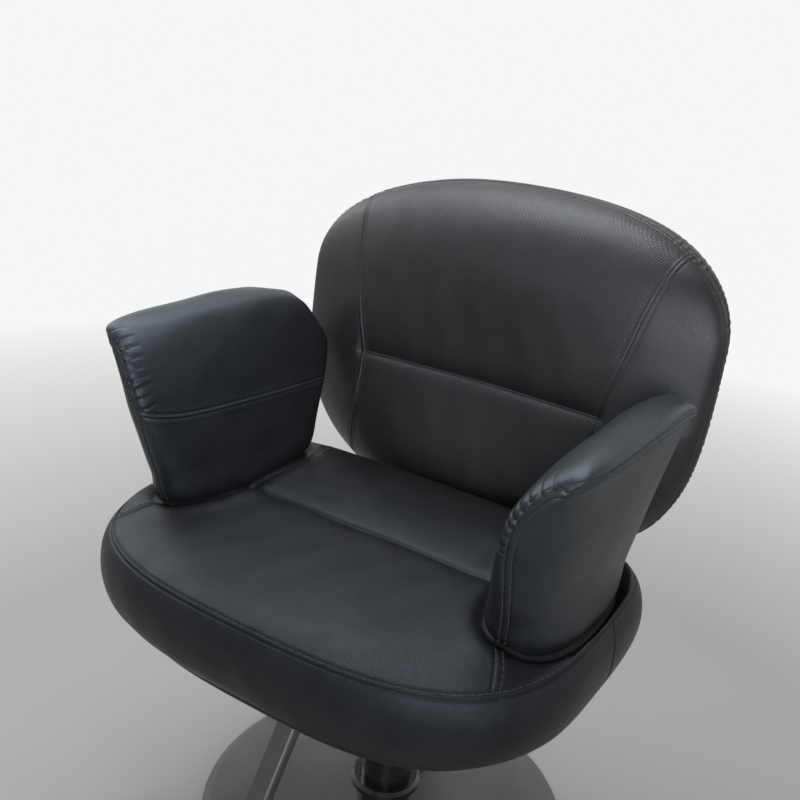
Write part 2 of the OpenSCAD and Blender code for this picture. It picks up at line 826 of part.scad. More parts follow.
function arm_ring(row, corner_power) = [
    for (p = arm_loop(
        arm_front + arm_front_lean * row[1],
        arm_rear + arm_rear_lean * row[2],
        arm_inner + arm_inner_flare * row[3],
        arm_outer + arm_outer_flare * row[4],
        row[5],
        row[6],
        corner_power
    ))
        [p[0], p[1], arm_base_z + (arm_top_z - arm_base_z) * row[0] - arm_fall(p[1]) * pow(row[0], 4)]
];

module arm_cushion_form() {
    mid_x = (arm_inner + arm_outer) / 2;
    top_row = arm_level_shares[len(arm_level_shares) - 1];
    top_x = mid_x + (arm_inner_flare * top_row[3] + arm_outer_flare * top_row[4]) / 2;
    difference() {
        skin(
            concat([for (i = [len(arm_level_shares) - 1 : -1 : 0])
                arm_ring(arm_level_shares[i], arm_corner_powers[i])], [arm_base_ring()]),
            [top_x, -arm_bar_mid, arm_top_z],
            [mid_x, -arm_bar_mid, seat_seam_z + seat_rise + soft_gap]
        );
        arm_bar_slot(seat_seam_z, seat_seam_z + arm_bar_rise + soft_gap);
    }
}

module left_arm_cushion() {
    color("#1d1f22")
        arm_cushion_form();
}

module right_arm_cushion() {
    color("#1d1f22")
        mirror([1, 0, 0])
            arm_cushion_form();
}

module arm_frame_form() {
    difference() {
        union() {
            translate([arm_bar_x - arm_bar_t / 2, -arm_bar_mid - arm_bar_w / 2, foot_z])
                cube([arm_bar_t, arm_bar_w, seat_seam_z + arm_bar_rise - foot_z]);
            translate([arm_bar_x + arm_bar_t / 2 - arm_foot_l, -arm_bar_mid - arm_bar_w / 2, foot_z])
                cube([arm_foot_l, arm_bar_w, bracket_t]);
        }
        arm_bolt_places()
            bolt_hole(bracket_t + cut);
    }
}

module left_arm_frame() {
    color("#2a2a2c")
        arm_frame_form();
}

module right_arm_frame() {
    color("#2a2a2c")
        mirror([1, 0, 0])
            arm_frame_form();
}

module arm_bolts() {
    color("#8a8a8c")
        arm_bolt_places()
            bolt(bracket_t + bolt_grip);
}

// Back
function back_mid_y(z) = back_plane_y + (z - back_wide_z) * tan(back_tilt);

function back_edge_y(x, z) = back_mid_y(z) - back_wrap * pow(x / back_half_w, 2);

function back_outline_half(z) =
    outline_half(z, back_bottom_z, back_wide_z, back_top_z, back_half_w, back_low_power, back_top_power);

function back_side() = [
    for (t = loop_shares)
        let (z = back_crease_z + t * (t < 0 ? back_crease_z - back_bottom_z : back_top_z - back_crease_z))
        [back_outline_half(z), z]
];

function back_face(x, z) =
    let (s = outline_share(x, z, back_bottom_z, back_wide_z, back_top_z, back_half_w,
        back_low_power, back_top_power))
    let (down = max(0, back_crease_z - z) / (back_crease_z - back_bottom_z))
    let (extra = back_low_extra * down * pow(1 - pow(x / back_half_w, 2), 2))
    let (soft = back_face_soft - back_low_soft * down * pow(x / back_half_w, 2))
    let (swell = pow(1 - pow(s, back_face_power + extra), 1 / soft))
    let (across = max(0, 1 - pow(x / back_panel_w, 2)))
    let (hollow = across * max(0, 1 - pow((z - back_crease_z) / (back_top_z - back_wide_z), 2)))
    let (crease = valley(z - back_crease_z, back_crease_w) * max(0, 1 - pow(x / back_panel_w, 8)))
    let (edge = back_edge_y(x, z) - back_edge_t)
    let (face = back_face_y + (z - back_crease_z) * tan(back_face_tilt) + back_hollow * hollow)
    edge - (edge - face) * swell + back_crease_depth * crease;

function back_crown_ring(s) = [
    for (p = mirror_loop(back_side()))
        let (x = p[0] * s, z = back_crease_z + (p[1] - back_crease_z) * s)
        [x, back_face(x, z), z]
];

// Ring that keeps the curve of the edge seam, behind it by depth
function back_shell_ring(s, depth) = [
    for (p = mirror_loop(back_side()))
        let (x = p[0] * s, z = back_crease_z + (p[1] - back_crease_z) * s)
        [x, back_edge_y(x, z) + depth, z]
];

// Ring of the rear cover, which is flat across the bars and curves forward beside them
function back_rear_ring(s, depth) = [
    for (p = mirror_loop(back_side()))
        let (x = p[0] * s, z = back_crease_z + (p[1] - back_crease_z) * s)
        let (beside = max(0, abs(x) - back_flat_x) / (back_half_w - back_flat_x))
        [x, back_mid_y(z) - back_wrap * pow(beside, 2) + depth, z]
];

module back_bolt_places() {
    for (side = [-1, 1])
        for (rise = back_bolt_rises)
            let (z = back_bottom_z + rise)
            translate([side * back_bar_x, back_mid_y(z) + back_cover_t, z])
                rotate([90 - back_tilt, 0, 0])
                    translate([0, 0, -back_bar_t])
                        children();
}

module back_board() {
    front = [for (s = board_shares) back_shell_ring(s, 0)];
    rear = [for (i = [len(board_shares) - 1 : -1 : 0]) back_shell_ring(board_shares[i], back_board_t)];
    color("#b98f5a")
        difference() {
            skin(concat(front, rear), [0, back_mid_y(back_crease_z), back_crease_z],
                [0, back_mid_y(back_crease_z) + back_board_t, back_crease_z], true);
            back_bolt_places()
                bolt_hole(back_bolt_l);
        }
}

module back_cushion() {
    rings = concat(
        [for (s = crown_shares) back_crown_ring(s)],
        [back_shell_ring(1, -back_edge_t)],
        [back_shell_ring(1, 0)],
        [for (i = [len(board_shares) - 1 : -1 : 0]) back_shell_ring(board_shares[i], 0)]
    );
    color("#1d1f22")
        skin(rings, [0, back_face(0, back_crease_z), back_crease_z],
            [0, back_mid_y(back_crease_z), back_crease_z]);
}

module back_cover() {
    floor_depth = back_board_t + soft_gap;
    face = [for (row = cover_face_shares) back_rear_ring(row[0], back_cover_t * row[1])];
    rim = [back_shell_ring(1, soft_gap), back_shell_ring(back_pocket_share, soft_gap)];
    pocket = concat(
        [back_shell_ring(back_pocket_share, floor_depth)],
        [for (i = [len(board_shares) - 1 : -1 : 0]) back_shell_ring(board_shares[i], floor_depth)]
    );
    rings = [for (ring = concat(face, rim, pocket)) [for (i = [len(ring) - 1 : -1 : 0]) ring[i]]];
    color("#1b1c1f")
        difference() {
            skin(rings, [0, back_mid_y(back_crease_z) + back_cover_t, back_crease_z],
                [0, back_mid_y(back_crease_z) + floor_depth, back_crease_z]);
            back_bolt_places()
                bolt_hole(back_bolt_l);
        }
}

module back_bar_form() {
    bar_low_z = board_z - back_bar_t;
    bar_high_z = back_bottom_z + back_bar_rise;
    bar_depth = back_bar_t / cos(back_tilt);
    difference() {
        translate([back_bar_x - back_bar_w / 2, 0, 0])
            rotate([90, 0, 90])
                linear_extrude(back_bar_w)
                    polygon([
                        [bar_leg_y, bar_low_z],
                        [back_mid_y(bar_low_z) + back_cover_t + bar_depth, bar_low_z],
                        [back_mid_y(bar_high_z) + back_cover_t + bar_depth, bar_high_z],
                        [back_mid_y(bar_high_z) + back_cover_t, bar_high_z],
                        [back_mid_y(board_z) + back_cover_t, board_z],
                        [bar_leg_y, board_z]
                    ]);
        bar_bolt_places()
            bolt_hole(back_bar_t + cut);
        back_bolt_places()
            bolt_hole(back_bar_t + cut);
    }
}

module left_back_bar() {
    color("#1c1c1e")
        back_bar_form();
}

module right_back_bar() {
    color("#1c1c1e")
        mirror([1, 0, 0])
            back_bar_form();
}

module back_bolts() {
    color("#8a8a8c")
        back_bolt_places()
            bolt(back_bolt_l - bolt_gap);
}

module bar_bolts() {
    color("#8a8a8c")
        bar_bolt_places()
            bolt(back_bar_t + bolt_grip);
}

// Footrest
module footrest_bracket() {
    color("#1c1c1e")
        difference() {
            translate([0, -foot_tube_y, foot_z])
                rounded_plate(foot_plate_w, foot_plate_l, bracket_t, bolt_head_r);
            footrest_bolt_places()
                bolt_hole(bracket_t + cut);
        }
}

module footrest_bolts() {
    color("#8a8a8c")
        footrest_bolt_places()
            bolt(bracket_t + bolt_grip);
}

module crossbar_solid(r, l) {
    translate([-l / 2, -crossbar_y, crossbar_z])
        rotate([0, 90, 0])
            cylinder(r = r, h = l, $fn = round_n);
}

module footrest_tube() {
    tube_l = (foot_z - crossbar_z) / cos(foot_tube_tilt);
    color("#1c1c1e")
        difference() {
            translate([0, -crossbar_y, crossbar_z])
                rotate([-foot_tube_tilt, 0, 0])
                    rounded_plate(foot_tube_w, foot_tube_d, tube_l + foot_tube_d, foot_tube_edge);
            translate([-foot_tube_w, -foot_tube_y - foot_tube_w * 2, foot_z])
                cube([foot_tube_w * 2, foot_tube_w * 4, foot_tube_w * 2]);
            crossbar_solid(crossbar_r, foot_tube_w * 2);
        }
}

module footrest_crossbar() {
    color("#1c1c1e")
        crossbar_solid(crossbar_r, crossbar_l);
}

module footrest_grips() {
    color("#111111")
        for (side = [-1, 1])
            translate([side * (crossbar_l - grip_l - cap_l) / 2 - grip_l / 2, -crossbar_y, crossbar_z])
                rotate([0, 90, 0])
                    tube(crossbar_r + grip_t, crossbar_r + bolt_gap, grip_l);
}

module crossbar_caps() {
    color("#111111")
        for (side = [-1, 1])
            translate([side * (crossbar_l + cap_l) / 2 - cap_l / 2, -crossbar_y, crossbar_z])
                rotate([0, 90, 0])
                    cylinder(r = crossbar_r + grip_t / 2, h = cap_l, $fn = round_n);
}

floor_pad();
base_plate();
pump_flange();
flange_bolts();
pump_housing();
pump_collar();
pump_cylinder();
cylinder_gland();
pedal_pin();
pedal_lever();
pedal_pad();
pump_plunger();
plunger_spring();
piston();
piston_rod();
pump_sleeve();
lift_head();
thrust_washer();
seat_bracket();
bracket_bolts();
seat_board();
seat_cushion();
underside_cover();
left_arm_frame();
right_arm_frame();
left_arm_cushion();
right_arm_cushion();
arm_bolts();
back_board();
back_cushion();
back_cover();
left_back_bar();
right_back_bar();
back_bolts();
bar_bolts();
footrest_bracket();
footrest_tube();
footrest_crossbar();
footrest_grips();
crossbar_caps();
footrest_bolts();
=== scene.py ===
"""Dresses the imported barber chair: leather cushions with seams and stitching, finishes and a plain stage."""

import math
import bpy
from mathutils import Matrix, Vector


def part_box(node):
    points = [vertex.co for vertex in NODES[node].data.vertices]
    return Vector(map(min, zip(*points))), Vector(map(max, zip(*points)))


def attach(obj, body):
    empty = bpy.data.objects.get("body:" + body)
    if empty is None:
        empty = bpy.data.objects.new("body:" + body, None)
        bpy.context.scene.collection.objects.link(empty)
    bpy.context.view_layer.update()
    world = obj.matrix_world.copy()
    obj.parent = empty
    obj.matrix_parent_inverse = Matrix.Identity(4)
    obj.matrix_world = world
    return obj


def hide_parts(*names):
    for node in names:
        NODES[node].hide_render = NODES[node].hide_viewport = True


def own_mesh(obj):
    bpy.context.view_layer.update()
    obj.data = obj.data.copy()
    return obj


bl_info = {
    "name": "Barber Chair",
    "version": (1, 0, 0),
    "blender": (4, 5, 0),
    "location": "3D View > Sidebar > Barber Chair",
    "description": "Builds the cushions, stitching and finishes of a barber chair on its CAD frame",
    "category": "Object",
}

import bmesh
import bpy
import numpy as np
from bpy.props import FloatProperty, FloatVectorProperty, PointerProperty
from mathutils import Matrix
from mathutils.kdtree import KDTree

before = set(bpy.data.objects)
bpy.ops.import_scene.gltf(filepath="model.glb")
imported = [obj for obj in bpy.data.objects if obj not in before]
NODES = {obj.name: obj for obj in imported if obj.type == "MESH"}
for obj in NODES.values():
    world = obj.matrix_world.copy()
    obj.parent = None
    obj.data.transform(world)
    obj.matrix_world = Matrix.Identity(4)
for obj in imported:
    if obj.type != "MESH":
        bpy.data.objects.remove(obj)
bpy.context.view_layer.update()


def length(name, description, default, low=0.0, high=2.0):
    return FloatProperty(
        name=name, description=description, default=default, min=low, max=high,
        precision=4, subtype="DISTANCE", unit="LENGTH",
    )


def angle(name, description, degrees):
    return FloatProperty(name=name, description=description, default=math.radians(degrees), subtype="ANGLE")


def power(name, description, default):
    return FloatProperty(name=name, description=description, default=default, min=0, unit="POWER")


def colour(name, description, default):
    return FloatVectorProperty(
        name=name, description=description, default=default, size=3, min=0, max=1, subtype="COLOR"
    )


def factor(name, description, default, high=1.0):
    return FloatProperty(
        name=name, description=description, default=default, min=0, max=high, subtype="FACTOR"
    )


# Sizes and colours that a user would change


class SeatForm(bpy.types.PropertyGroup):
    half_width: length("Half width", "Middle to the edge seam", 0.335)
    front: length("Front", "Pump axis to the front edge seam", 0.366)
    rear: length("Rear", "Pump axis to the rear edge seam", 0.112)
    crease: length("Crease place", "Pump axis to the crease across the seat", 0.106)
    seam_height: length("Seam height", "Floor to the edge seam", 0.535)
    rise: length("Crown", "Rise of the crown above the edge seam", 0.026)
    band: length("Band", "Height of the side band under the edge seam", 0.104)
    swell: length("Band swell", "Swell of the band beyond the edge seam", 0.014)
    draw: length("Underside", "How far the band turns in under the seat", 0.0335)
    crease_depth: length("Crease depth", "Depth of the crease across the seat", 0.011)
    pinch: length("Pinch", "How far the arms press into the seat", 0.0155)


class ArmForm(bpy.types.PropertyGroup):
    inner: length("Inner face", "Middle to the inner face at the seat", 0.206)
    inner_flare: length("Inner flare", "Outward lean of the inner face", 0.1)
    outer: length("Outer face", "Middle to the outer face at the seat", 0.326)
    outer_flare: length("Outer flare", "Outward lean of the outer face", 0.023)
    front: length("Front", "Pump axis to the arm's front at the seat", 0.218)
    front_lean: length("Front lean", "Forward lean of the front", 0.045)
    rear: length("Rear", "Pump axis to the arm's rear at the seat", 0.054)
    rear_lean: length("Rear lean", "Rearward lean of the rear", 0.102)
    base_height: length("Foot height", "Floor to the foot of the padding", 0.548)
    top_height: length("Top height", "Floor to the top of the arm", 0.8)
    top_drop: length("Top fall", "Fall of the top towards the rear", 0.021)
    gather_depth: length("Gather depth", "Height of the gathers at the front", 0.006)
    gather_pitch: length("Gather pitch", "Distance between gathers", 0.0125, 0.004)


class BackForm(bpy.types.PropertyGroup):
    half_width: length("Half width", "Half of the greatest width", 0.337)
    top: length("Top", "Floor to the top", 0.973)
    bottom: length("Bottom", "Floor to the bottom", 0.464)
    widest: length("Widest height", "Floor to the widest place", 0.807)
    crease: length("Crease height", "Floor to the crease", 0.697)
    plane: length("Edge place", "Pump axis to the middle of the edge seam", 0.28)
    wrap: length("Wrap", "How far the sides come forward", 0.06)
    tilt: angle("Tilt", "Recline of the rear", 6)
    face: length("Face place", "Pump axis to the face at the crease", 0.132)
    face_tilt: angle("Face tilt", "Recline of the face", 10.8)
    edge: length("Edge thickness", "Thickness of the cushion at its edge", 0.012)
    hollow: length("Hollow", "Depth of the hollow down the middle", 0.02)
    panel: length("Panel half width", "Middle to the panel seams at the crease", 0.208)
    crease_depth: length("Crease depth", "Depth of the crease across the back", 0.008)
    cover: length("Cover", "Thickness of the rear cover", 0.022)


class StitchForm(bpy.types.PropertyGroup):
    spacing: length("Mesh spacing", "Distance between mesh lines on the cushions", 0.0019, 0.001)
    pitch: length("Stitch pitch", "Distance from one stitch to the next", 0.005, 0.002)
    thread: length("Thread radius", "Radius of the thread", 0.00056)
    groove: length("Seam depth", "Depth of a seam's groove", 0.0021)
    row: length("Row distance", "Distance from a single seam to its row of stitches", 0.0052)
    band: length("Band", "Half width of the band between two rows of stitches", 0.0042)


class LeatherFinish(bpy.types.PropertyGroup):
    tone: colour("Leather", "Colour of the leather", (0.0096, 0.0091, 0.0099))
    worn: colour("Leather highlights", "Colour of the leather where it is rubbed", (0.0142, 0.0138, 0.0150))
    thread: colour("Thread", "Colour of the thread", (0.021, 0.022, 0.024))
    roughness: factor("Roughness", "Roughness of the leather", 0.36)
    seat_gloss: factor("Seat gloss", "Specular level of the leather on the seat", 0.23)
    arm_gloss: factor("Arm gloss", "Specular level of the leather on the arms", 0.62)
    back_gloss: factor("Back gloss", "Specular level of the leather on the back", 0.54)
    gleam: colour("Gleam", "Tint of the reflections on the seat and arms", (0.62, 0.82, 1.0))
    back_gleam: colour("Back gleam", "Tint of the reflections on the back", (0.88, 0.93, 1.0))
    grain: length("Grain size", "Size of the leather's pebbles", 0.0013, 0.0002)
    weave: length("Weave size", "Pitch of the embossed weave on the back", 0.0052, 0.001)


class MetalFinish(bpy.types.PropertyGroup):
    coat: colour("Coat", "Colour of the satin coat", (0.04, 0.0385, 0.04))
    plate: colour("Plate coat", "Colour of the base plate's coat", (0.078, 0.076, 0.078))
    gloss: colour("Gloss coat", "Colour of the glossy coat", (0.006, 0.006, 0.007))
    steel: colour("Steel", "Colour of bare steel", (0.45, 0.45, 0.46))
    bronze: colour("Bronze", "Colour of the bearing bronze", (0.55, 0.38, 0.16))
    rubber: colour("Rubber", "Colour of the rubber", (0.018, 0.018, 0.018))
    wood: colour("Plywood", "Colour of the plywood", (0.52, 0.36, 0.2))
    fabric: colour("Dust fabric", "Colour of the dust fabric", (0.02, 0.02, 0.021))


class StageForm(bpy.types.PropertyGroup):
    floor: colour("Floor", "Colour of the floor", (0.35, 0.35, 0.343))
    backdrop: colour("Backdrop", "Colour of the backdrop and the far floor", (0.92, 0.92, 0.92))
    room: factor("Room light", "Strength of the light from all round", 0.3, 4)
    ceiling: factor("Ceiling", "How bright gloss shows the ceiling", 0.3)
    far_floor: factor("Far floor", "How bright gloss shows the floor away from the chair", 0.36)
    key: power("Key light", "Power of the lamp above", 54)
    side: power("Side light", "Power of the lamp at the front", 54)
    left: power("Left light", "Power of the lamp at the left", 26)
    reach: length("Floor radius", "Radius of the floor", 40.0, 1, 100)
    clear: length("Clear floor", "Radius of the floor that shows its own colour", 0.9, 0.5, 20)


class ChairSettings(bpy.types.PropertyGroup):
    seat: PointerProperty(type=SeatForm)
    arm: PointerProperty(type=ArmForm)
    back: PointerProperty(type=BackForm)
    stitch: PointerProperty(type=StitchForm)
    leather: PointerProperty(type=LeatherFinish)
    metal: PointerProperty(type=MetalFinish)
    stage: PointerProperty(type=StageForm)


# Curves and surfaces


def bell(x, place, width):
    """Bell curve that is 1 at its place."""
    return np.exp(-(((x - place) / width) ** 2))


def ease(x, start, span, most=1):
    """Rises from 0 at the start to 1 at the end of the span, and on up to most."""
    return np.clip((x - start) / span, 0, most)


def dome(share, power, exponent=1):
    """Height of a dome, from 1 in its middle to 0 at its edge."""
    return np.clip(1 - share**power, 0, 1) ** exponent


def rounded_distance(x, radius):
    """Distance from 0, rounded off close to it."""
    return np.sqrt(x**2 + radius**2) - radius


def unit(vectors, least=1e-12):
    """Vectors at length 1; those shorter than least stay short."""
    return vectors / np.maximum(np.linalg.norm(vectors, axis=-1, keepdims=True), least)


def reaches(points):
    """Distance along a line to each of its points."""
    return np.concatenate([[0], np.cumsum(np.linalg.norm(np.diff(points, axis=0), axis=1))])


def smooth_table(places, values, at):
    """Values at places on a smooth curve through a table's rows."""
    places, values = np.asarray(places, float), np.asarray(values, float)
    flat = values.reshape(len(places), -1)
    slopes = np.gradient(flat, places, axis=0)
    k = np.clip(np.searchsorted(places, at, side="right") - 1, 0, len(places) - 2)
    gap = (places[k + 1] - places[k])[:, None]
    t = ((at - places[k]) / gap[:, 0])[:, None]
    curve = (
        (2 * t**3 - 3 * t**2 + 1) * flat[k]
        + (t**3 - 2 * t**2 + t) * gap * slopes[k]
        + (3 * t**2 - 2 * t**3) * flat[k + 1]
        + (t**3 - t**2) * gap * slopes[k + 1]
    )
    return curve.reshape((len(at),) + values.shape[1:])


def even_rows(reach, rows, spacing):
    """Rows at even steps on the smooth curve through a table's rows."""
    return smooth_table(reach, rows, np.linspace(0, reach[-1], int(reach[-1] / spacing)))


def even_line(points, count, closed=False):
    """The same line through count points at equal distances."""
    points = np.asarray(points, float)
    if closed:
        points = np.vstack([points, points[:1]])
    reach = reaches(points)
    at = np.linspace(0, reach[-1], count + 1)[:-1] if closed else np.linspace(0, reach[-1], count)
    return np.stack([np.interp(at, reach, points[:, i]) for i in range(points.shape[1])], 1)


LINE_STEP = 0.002  # between the points of a seam


def smooth_line(points, step=LINE_STEP):
    """A smooth line through points, with a point about every step."""
    points = np.asarray(points, float)
    reach = reaches(points)
    dense = smooth_table(reach, points, np.linspace(0, reach[-1], 20 * len(points)))
    return even_line(dense, max(4, int(reach[-1] / step)))


def half_round(low, middle, high, low_power, high_power, count):
    """Half of a squared round: places from its low to its high end, and shares of its half width there."""
    a = np.linspace(-np.pi / 2, np.pi / 2, count)
    power = np.where(a < 0, low_power, high_power)
    reach = np.where(a < 0, middle - low, high - middle)
    along = middle + reach * np.sign(np.sin(a)) * np.abs(np.sin(a)) ** (2 / power)
    return along, np.abs(np.cos(a)) ** (2 / power)


def outline_loop(low, middle, high, half, low_power, high_power, count):
    """Closed loop of (across, along) points, widest at the middle, from the low end up the + side."""
    along, share = half_round(low, middle, high, low_power, high_power, 6001)
    side = even_line(np.stack([half * share, along], 1), count // 2 + 1)
    return np.vstack([side, (side * [-1, 1])[-2:0:-1]])


def outline_share(u, v, low, middle, high, half, low_power, high_power):
    """Place inside the outline, from 0 in its middle to 1 on its edge."""
    power = np.where(v < middle, low_power, high_power)
    reach = np.where(v < middle, middle - low, high - middle)
    share = ((np.abs(u) / half) ** power + (np.abs(v - middle) / reach) ** power) ** (1 / power)
    return np.minimum(1, share)


def even_shares(width, rise, power, exponent, spacing):
    """Shares, up to 1 at the edge, that step evenly over a dome from its middle."""
    shares = np.linspace(0, 1, 2000)
    reach = reaches(np.stack([shares * width, rise * dome(shares, power, exponent)], 1))
    return np.interp(np.linspace(0, reach[-1], max(6, int(reach[-1] / spacing))), reach, shares)[1:]


def shrunk(loop, shares, centre):
    """A loop shrunk to each share round a centre on the middle line, as its two coordinates."""
    shares = np.asarray(shares, float)[..., None]
    return shares * loop[:, 0], centre + shares * (loop[:, 1] - centre)


def level_rings(loop, shares, centre, heights):
    """Rings of a shrunk loop, each at its height."""
    x, y = shrunk(loop, shares, centre)
    return np.stack([x, y, np.broadcast_to(np.reshape(heights, (-1, 1)), x.shape)], 2)


def surface_normals(rings):
    """Normals of a surface given as rings of points; they point outward if the rings run down the piece."""
    around = np.roll(rings, -1, 1) - np.roll(rings, 1, 1)
    return unit(np.cross(np.gradient(rings, axis=0), around))


def mesh_steps(stitch, half_round, share=1.0):
    """Spacing of a cushion's mesh lines, and how many points go round it."""
    spacing = share * stitch.spacing * 1
    return spacing, 2 * int(half_round / spacing)


# Seams


def tree_of(points):
    """Tree that finds the nearest of some points."""
    tree = KDTree(len(points))
    for i, p in enumerate(points):
        tree.insert(p, i)
    tree.balance()
    return tree


def nearest(tree, points):
    """Number of the nearest point of a tree to each point."""
    return np.fromiter((tree.find(p)[1] for p in points), int, len(points))


def box_round(points, line, reach):
    """Numbers of the points in the box round a line."""
    return np.flatnonzero(((points > line.min(0) - reach) & (points < line.max(0) + reach)).all(1))


def groove(depth, width):
    """A plain groove; like every kind of seam it gives its rows, and the places of its rows of stitches."""
    return [(0.0, -depth, width)], ()


def single_seam(form, side=1, depth=1.0):
    """A seam with one row of stitches beside it."""
    rows = [
        (0.0, -depth * form.groove, 0.0013),
        (-side * 0.003, 0.0005, 0.0024),
        (side * form.row * 0.5, 0.0004, 0.0018),
        (side * form.row, -0.0007, 0.001),
        (side * (form.row + 0.0042), 0.0003, 0.003),
    ]
    return rows, (side * form.row,)


def double_seam(band, closed=0.0):
    """A raised band between two rows of stitches; closed is the depth of the seam line in its middle."""
    rows = [(0.0, 0.0013, band * 0.7), (0.0, -closed, 0.0008)]
    for side in (1, -1):
        rows += [(side * band, -0.0012, 0.001), (side * (band + 0.004), 0.0004, 0.003)]
    return rows, (band, -band)


class Seam:
    """A sewn line on a surface, with the surface's normal and the direction across it at each point."""

    beside = 0.03  # how far from its line a seam is looked for
    steady = 4  # points before and behind that steady its direction

    def __init__(self, line, rings, normals, kind, closed=False):
        points, ups = rings.reshape(-1, 3), normals.reshape(-1, 3)
        some = box_round(points, line, self.beside)
        points, ups = points[some], ups[some]
        tree = tree_of(points)
        for _ in range(2):
            at = nearest(tree, line)
            line = line - ups[at] * ((line - points[at]) * ups[at]).sum(1, keepdims=True)
        self.line = line
        self.rows, self.stitches = kind
        along = np.roll(line, -1, 0) - np.roll(line, 1, 0) if closed else np.gradient(line, axis=0)
        self.along = unit(along)
        near = np.arange(len(line)) + np.arange(-self.steady, self.steady + 1)[:, None]
        near = near % len(line) if closed else np.clip(near, 0, len(line) - 1)
        self.across = unit(np.cross(unit(ups[nearest(tree, line)][near].sum(0)), self.along))
        self.reach = reaches(line)
        self.tree = tree_of(line)

    def place_of(self, points, at):
        """Distance across the seam, with its side as the sign, and along it from its nearest point."""
        away = points - self.line[at]
        beyond = (away * self.along[at]).sum(1)
        across = np.linalg.norm(away - self.along[at] * beyond[:, None], axis=1)
        return across * np.sign((away * self.across[at]).sum(1)), beyond

    def profile(self, across):
        """Height of the surface beside the seam: each row is a place across, a rise and a width."""
        return sum(rise * bell(across, place, width) for place, rise, width in self.rows)


def press_seams(rings, normals, seams, draw=0.014, end=0.003):
    """Draws the mesh lines close to each seam and presses its grooves into the surface."""
    points, ups = rings.reshape(-1, 3).copy(), normals.reshape(-1, 3)
    rise = np.zeros(len(points))
    for seam in seams:
        some = box_round(points, seam.line, seam.beside)
        at = nearest(seam.tree, points[some])
        close = np.linalg.norm(points[some] - seam.line[at], axis=1) < seam.beside
        some, at = some[close], at[close]
        across, beyond = seam.place_of(points[some], at)
        fade = bell(beyond, 0, end)
        pull = -0.45 * across * bell(across, 0, draw) * fade
        flat = seam.across[at] - ups[some] * (seam.across[at] * ups[some]).sum(1, keepdims=True)
        points[some] += unit(flat, 0.2) * pull[:, None]
        rise[some] += seam.profile(across + pull) * fade
    return (points + ups * rise[:, None]).reshape(rings.shape)


def pucker(rings, normals, loop, first, last, height=0.0006):
    """Small puckers round the edge of the back, deepest down its sides."""
    reach = reaches(loop)
    wave = np.sin(2 * np.pi * reach / 0.011 + 2.6 * np.sin(reach * 47)) * (0.6 + 0.4 * np.sin(reach * 143))
    sides = ease(np.abs(loop[:, 0]), 0.16, 0.12)
    rows = np.arange(len(rings))
    weight = ease(rows, first - 3, 3) * ease(-rows, -last - 2, 2)
    return rings + normals * (height * weight[:, None] * (wave * sides))[:, :, None]


def uneven(rings, normals, amount=0.0006):
    """The slight unevenness of padding under leather."""
    x, y, z = np.moveaxis(rings, 2, 0)
    broad = np.sin(31 * x + 17 * y + 1) * np.sin(23 * y - 19 * z + 2)
    fine = np.sin(57 * x - 41 * y) * np.sin(49 * z + 37 * x)
    return rings + normals * (amount * (broad + 0.6 * fine))[:, :, None]


# Meshes


def link(name, mesh):
    """A new piece with a mesh."""
    piece = bpy.data.objects.new(name, mesh)
    bpy.context.scene.collection.objects.link(piece)
    return piece


def piece_of(name, points, *groups):
    """A smooth shaded piece from points and groups of faces with the same number of corners."""
    mesh = bpy.data.meshes.new(name)
    loops = np.concatenate([g.ravel() for g in groups])
    totals = np.concatenate([np.full(len(g), g.shape[1]) for g in groups])
    mesh.vertices.add(len(points))
    mesh.vertices.foreach_set("co", points.astype(np.float32).ravel())
    mesh.loops.add(len(loops))
    mesh.loops.foreach_set("vertex_index", loops.astype(np.int32))
    mesh.polygons.add(len(totals))
    starts = np.concatenate([[0], np.cumsum(totals)[:-1]])
    for key, values in (("loop_start", starts), ("loop_total", totals)):
        mesh.polygons.foreach_set(key, values.astype(np.int32))
    mesh.polygons.foreach_set("use_smooth", np.ones(len(totals), bool))
    mesh.update(calc_edges=True)
    mesh.validate()
    solid = bmesh.new()
    solid.from_mesh(mesh)
    if solid.calc_volume(signed=True) < 0:
        mesh.flip_normals()
    solid.free()
    return link(name, mesh)


def grid(rows, count):
    """Faces between rows of rings with count points each."""
    row, j = np.arange(rows - 1)[:, None] * count, np.arange(count)
    a, b = row + j, row + (j + 1) % count
    return np.stack([a, b, b + count, a + count], 2).reshape(-1, 4)


def build_mesh(name, rings, *ends, panel=None):
    """Piece through rings of points, with up to two points that close its first and its last ring."""
    rows, count = rings.shape[:2]
    j = np.arange(count)
    following, total = (j + 1) % count, rows * count
    fans = [(following, j), (j + total - count, following + total - count)]
    caps = [np.stack([np.full(count, total + i), *fans[i]], 1) for i in range(len(ends))]
    points = np.vstack([rings.reshape(-1, 3), *(np.reshape(e, (1, 3)) for e in ends)])
    piece = piece_of(name, points, grid(rows, count), *caps)
    if panel is not None:
        values = np.concatenate([panel.ravel(), np.ones(len(ends))]).astype(np.float32)
        piece.data.attributes.new("panel", "FLOAT", "POINT").data.foreach_set("value", values)
    return piece


# Place along a stitch as a share of its pitch, height and girth as shares of the thread's radius
STITCH_SECTIONS = [
    (-0.5, -0.9, 0.75), (-0.36, 0.35, 1.0), (0.0, 0.75, 1.05), (0.36, 0.35, 1.0), (0.5, -0.9, 0.75),
]


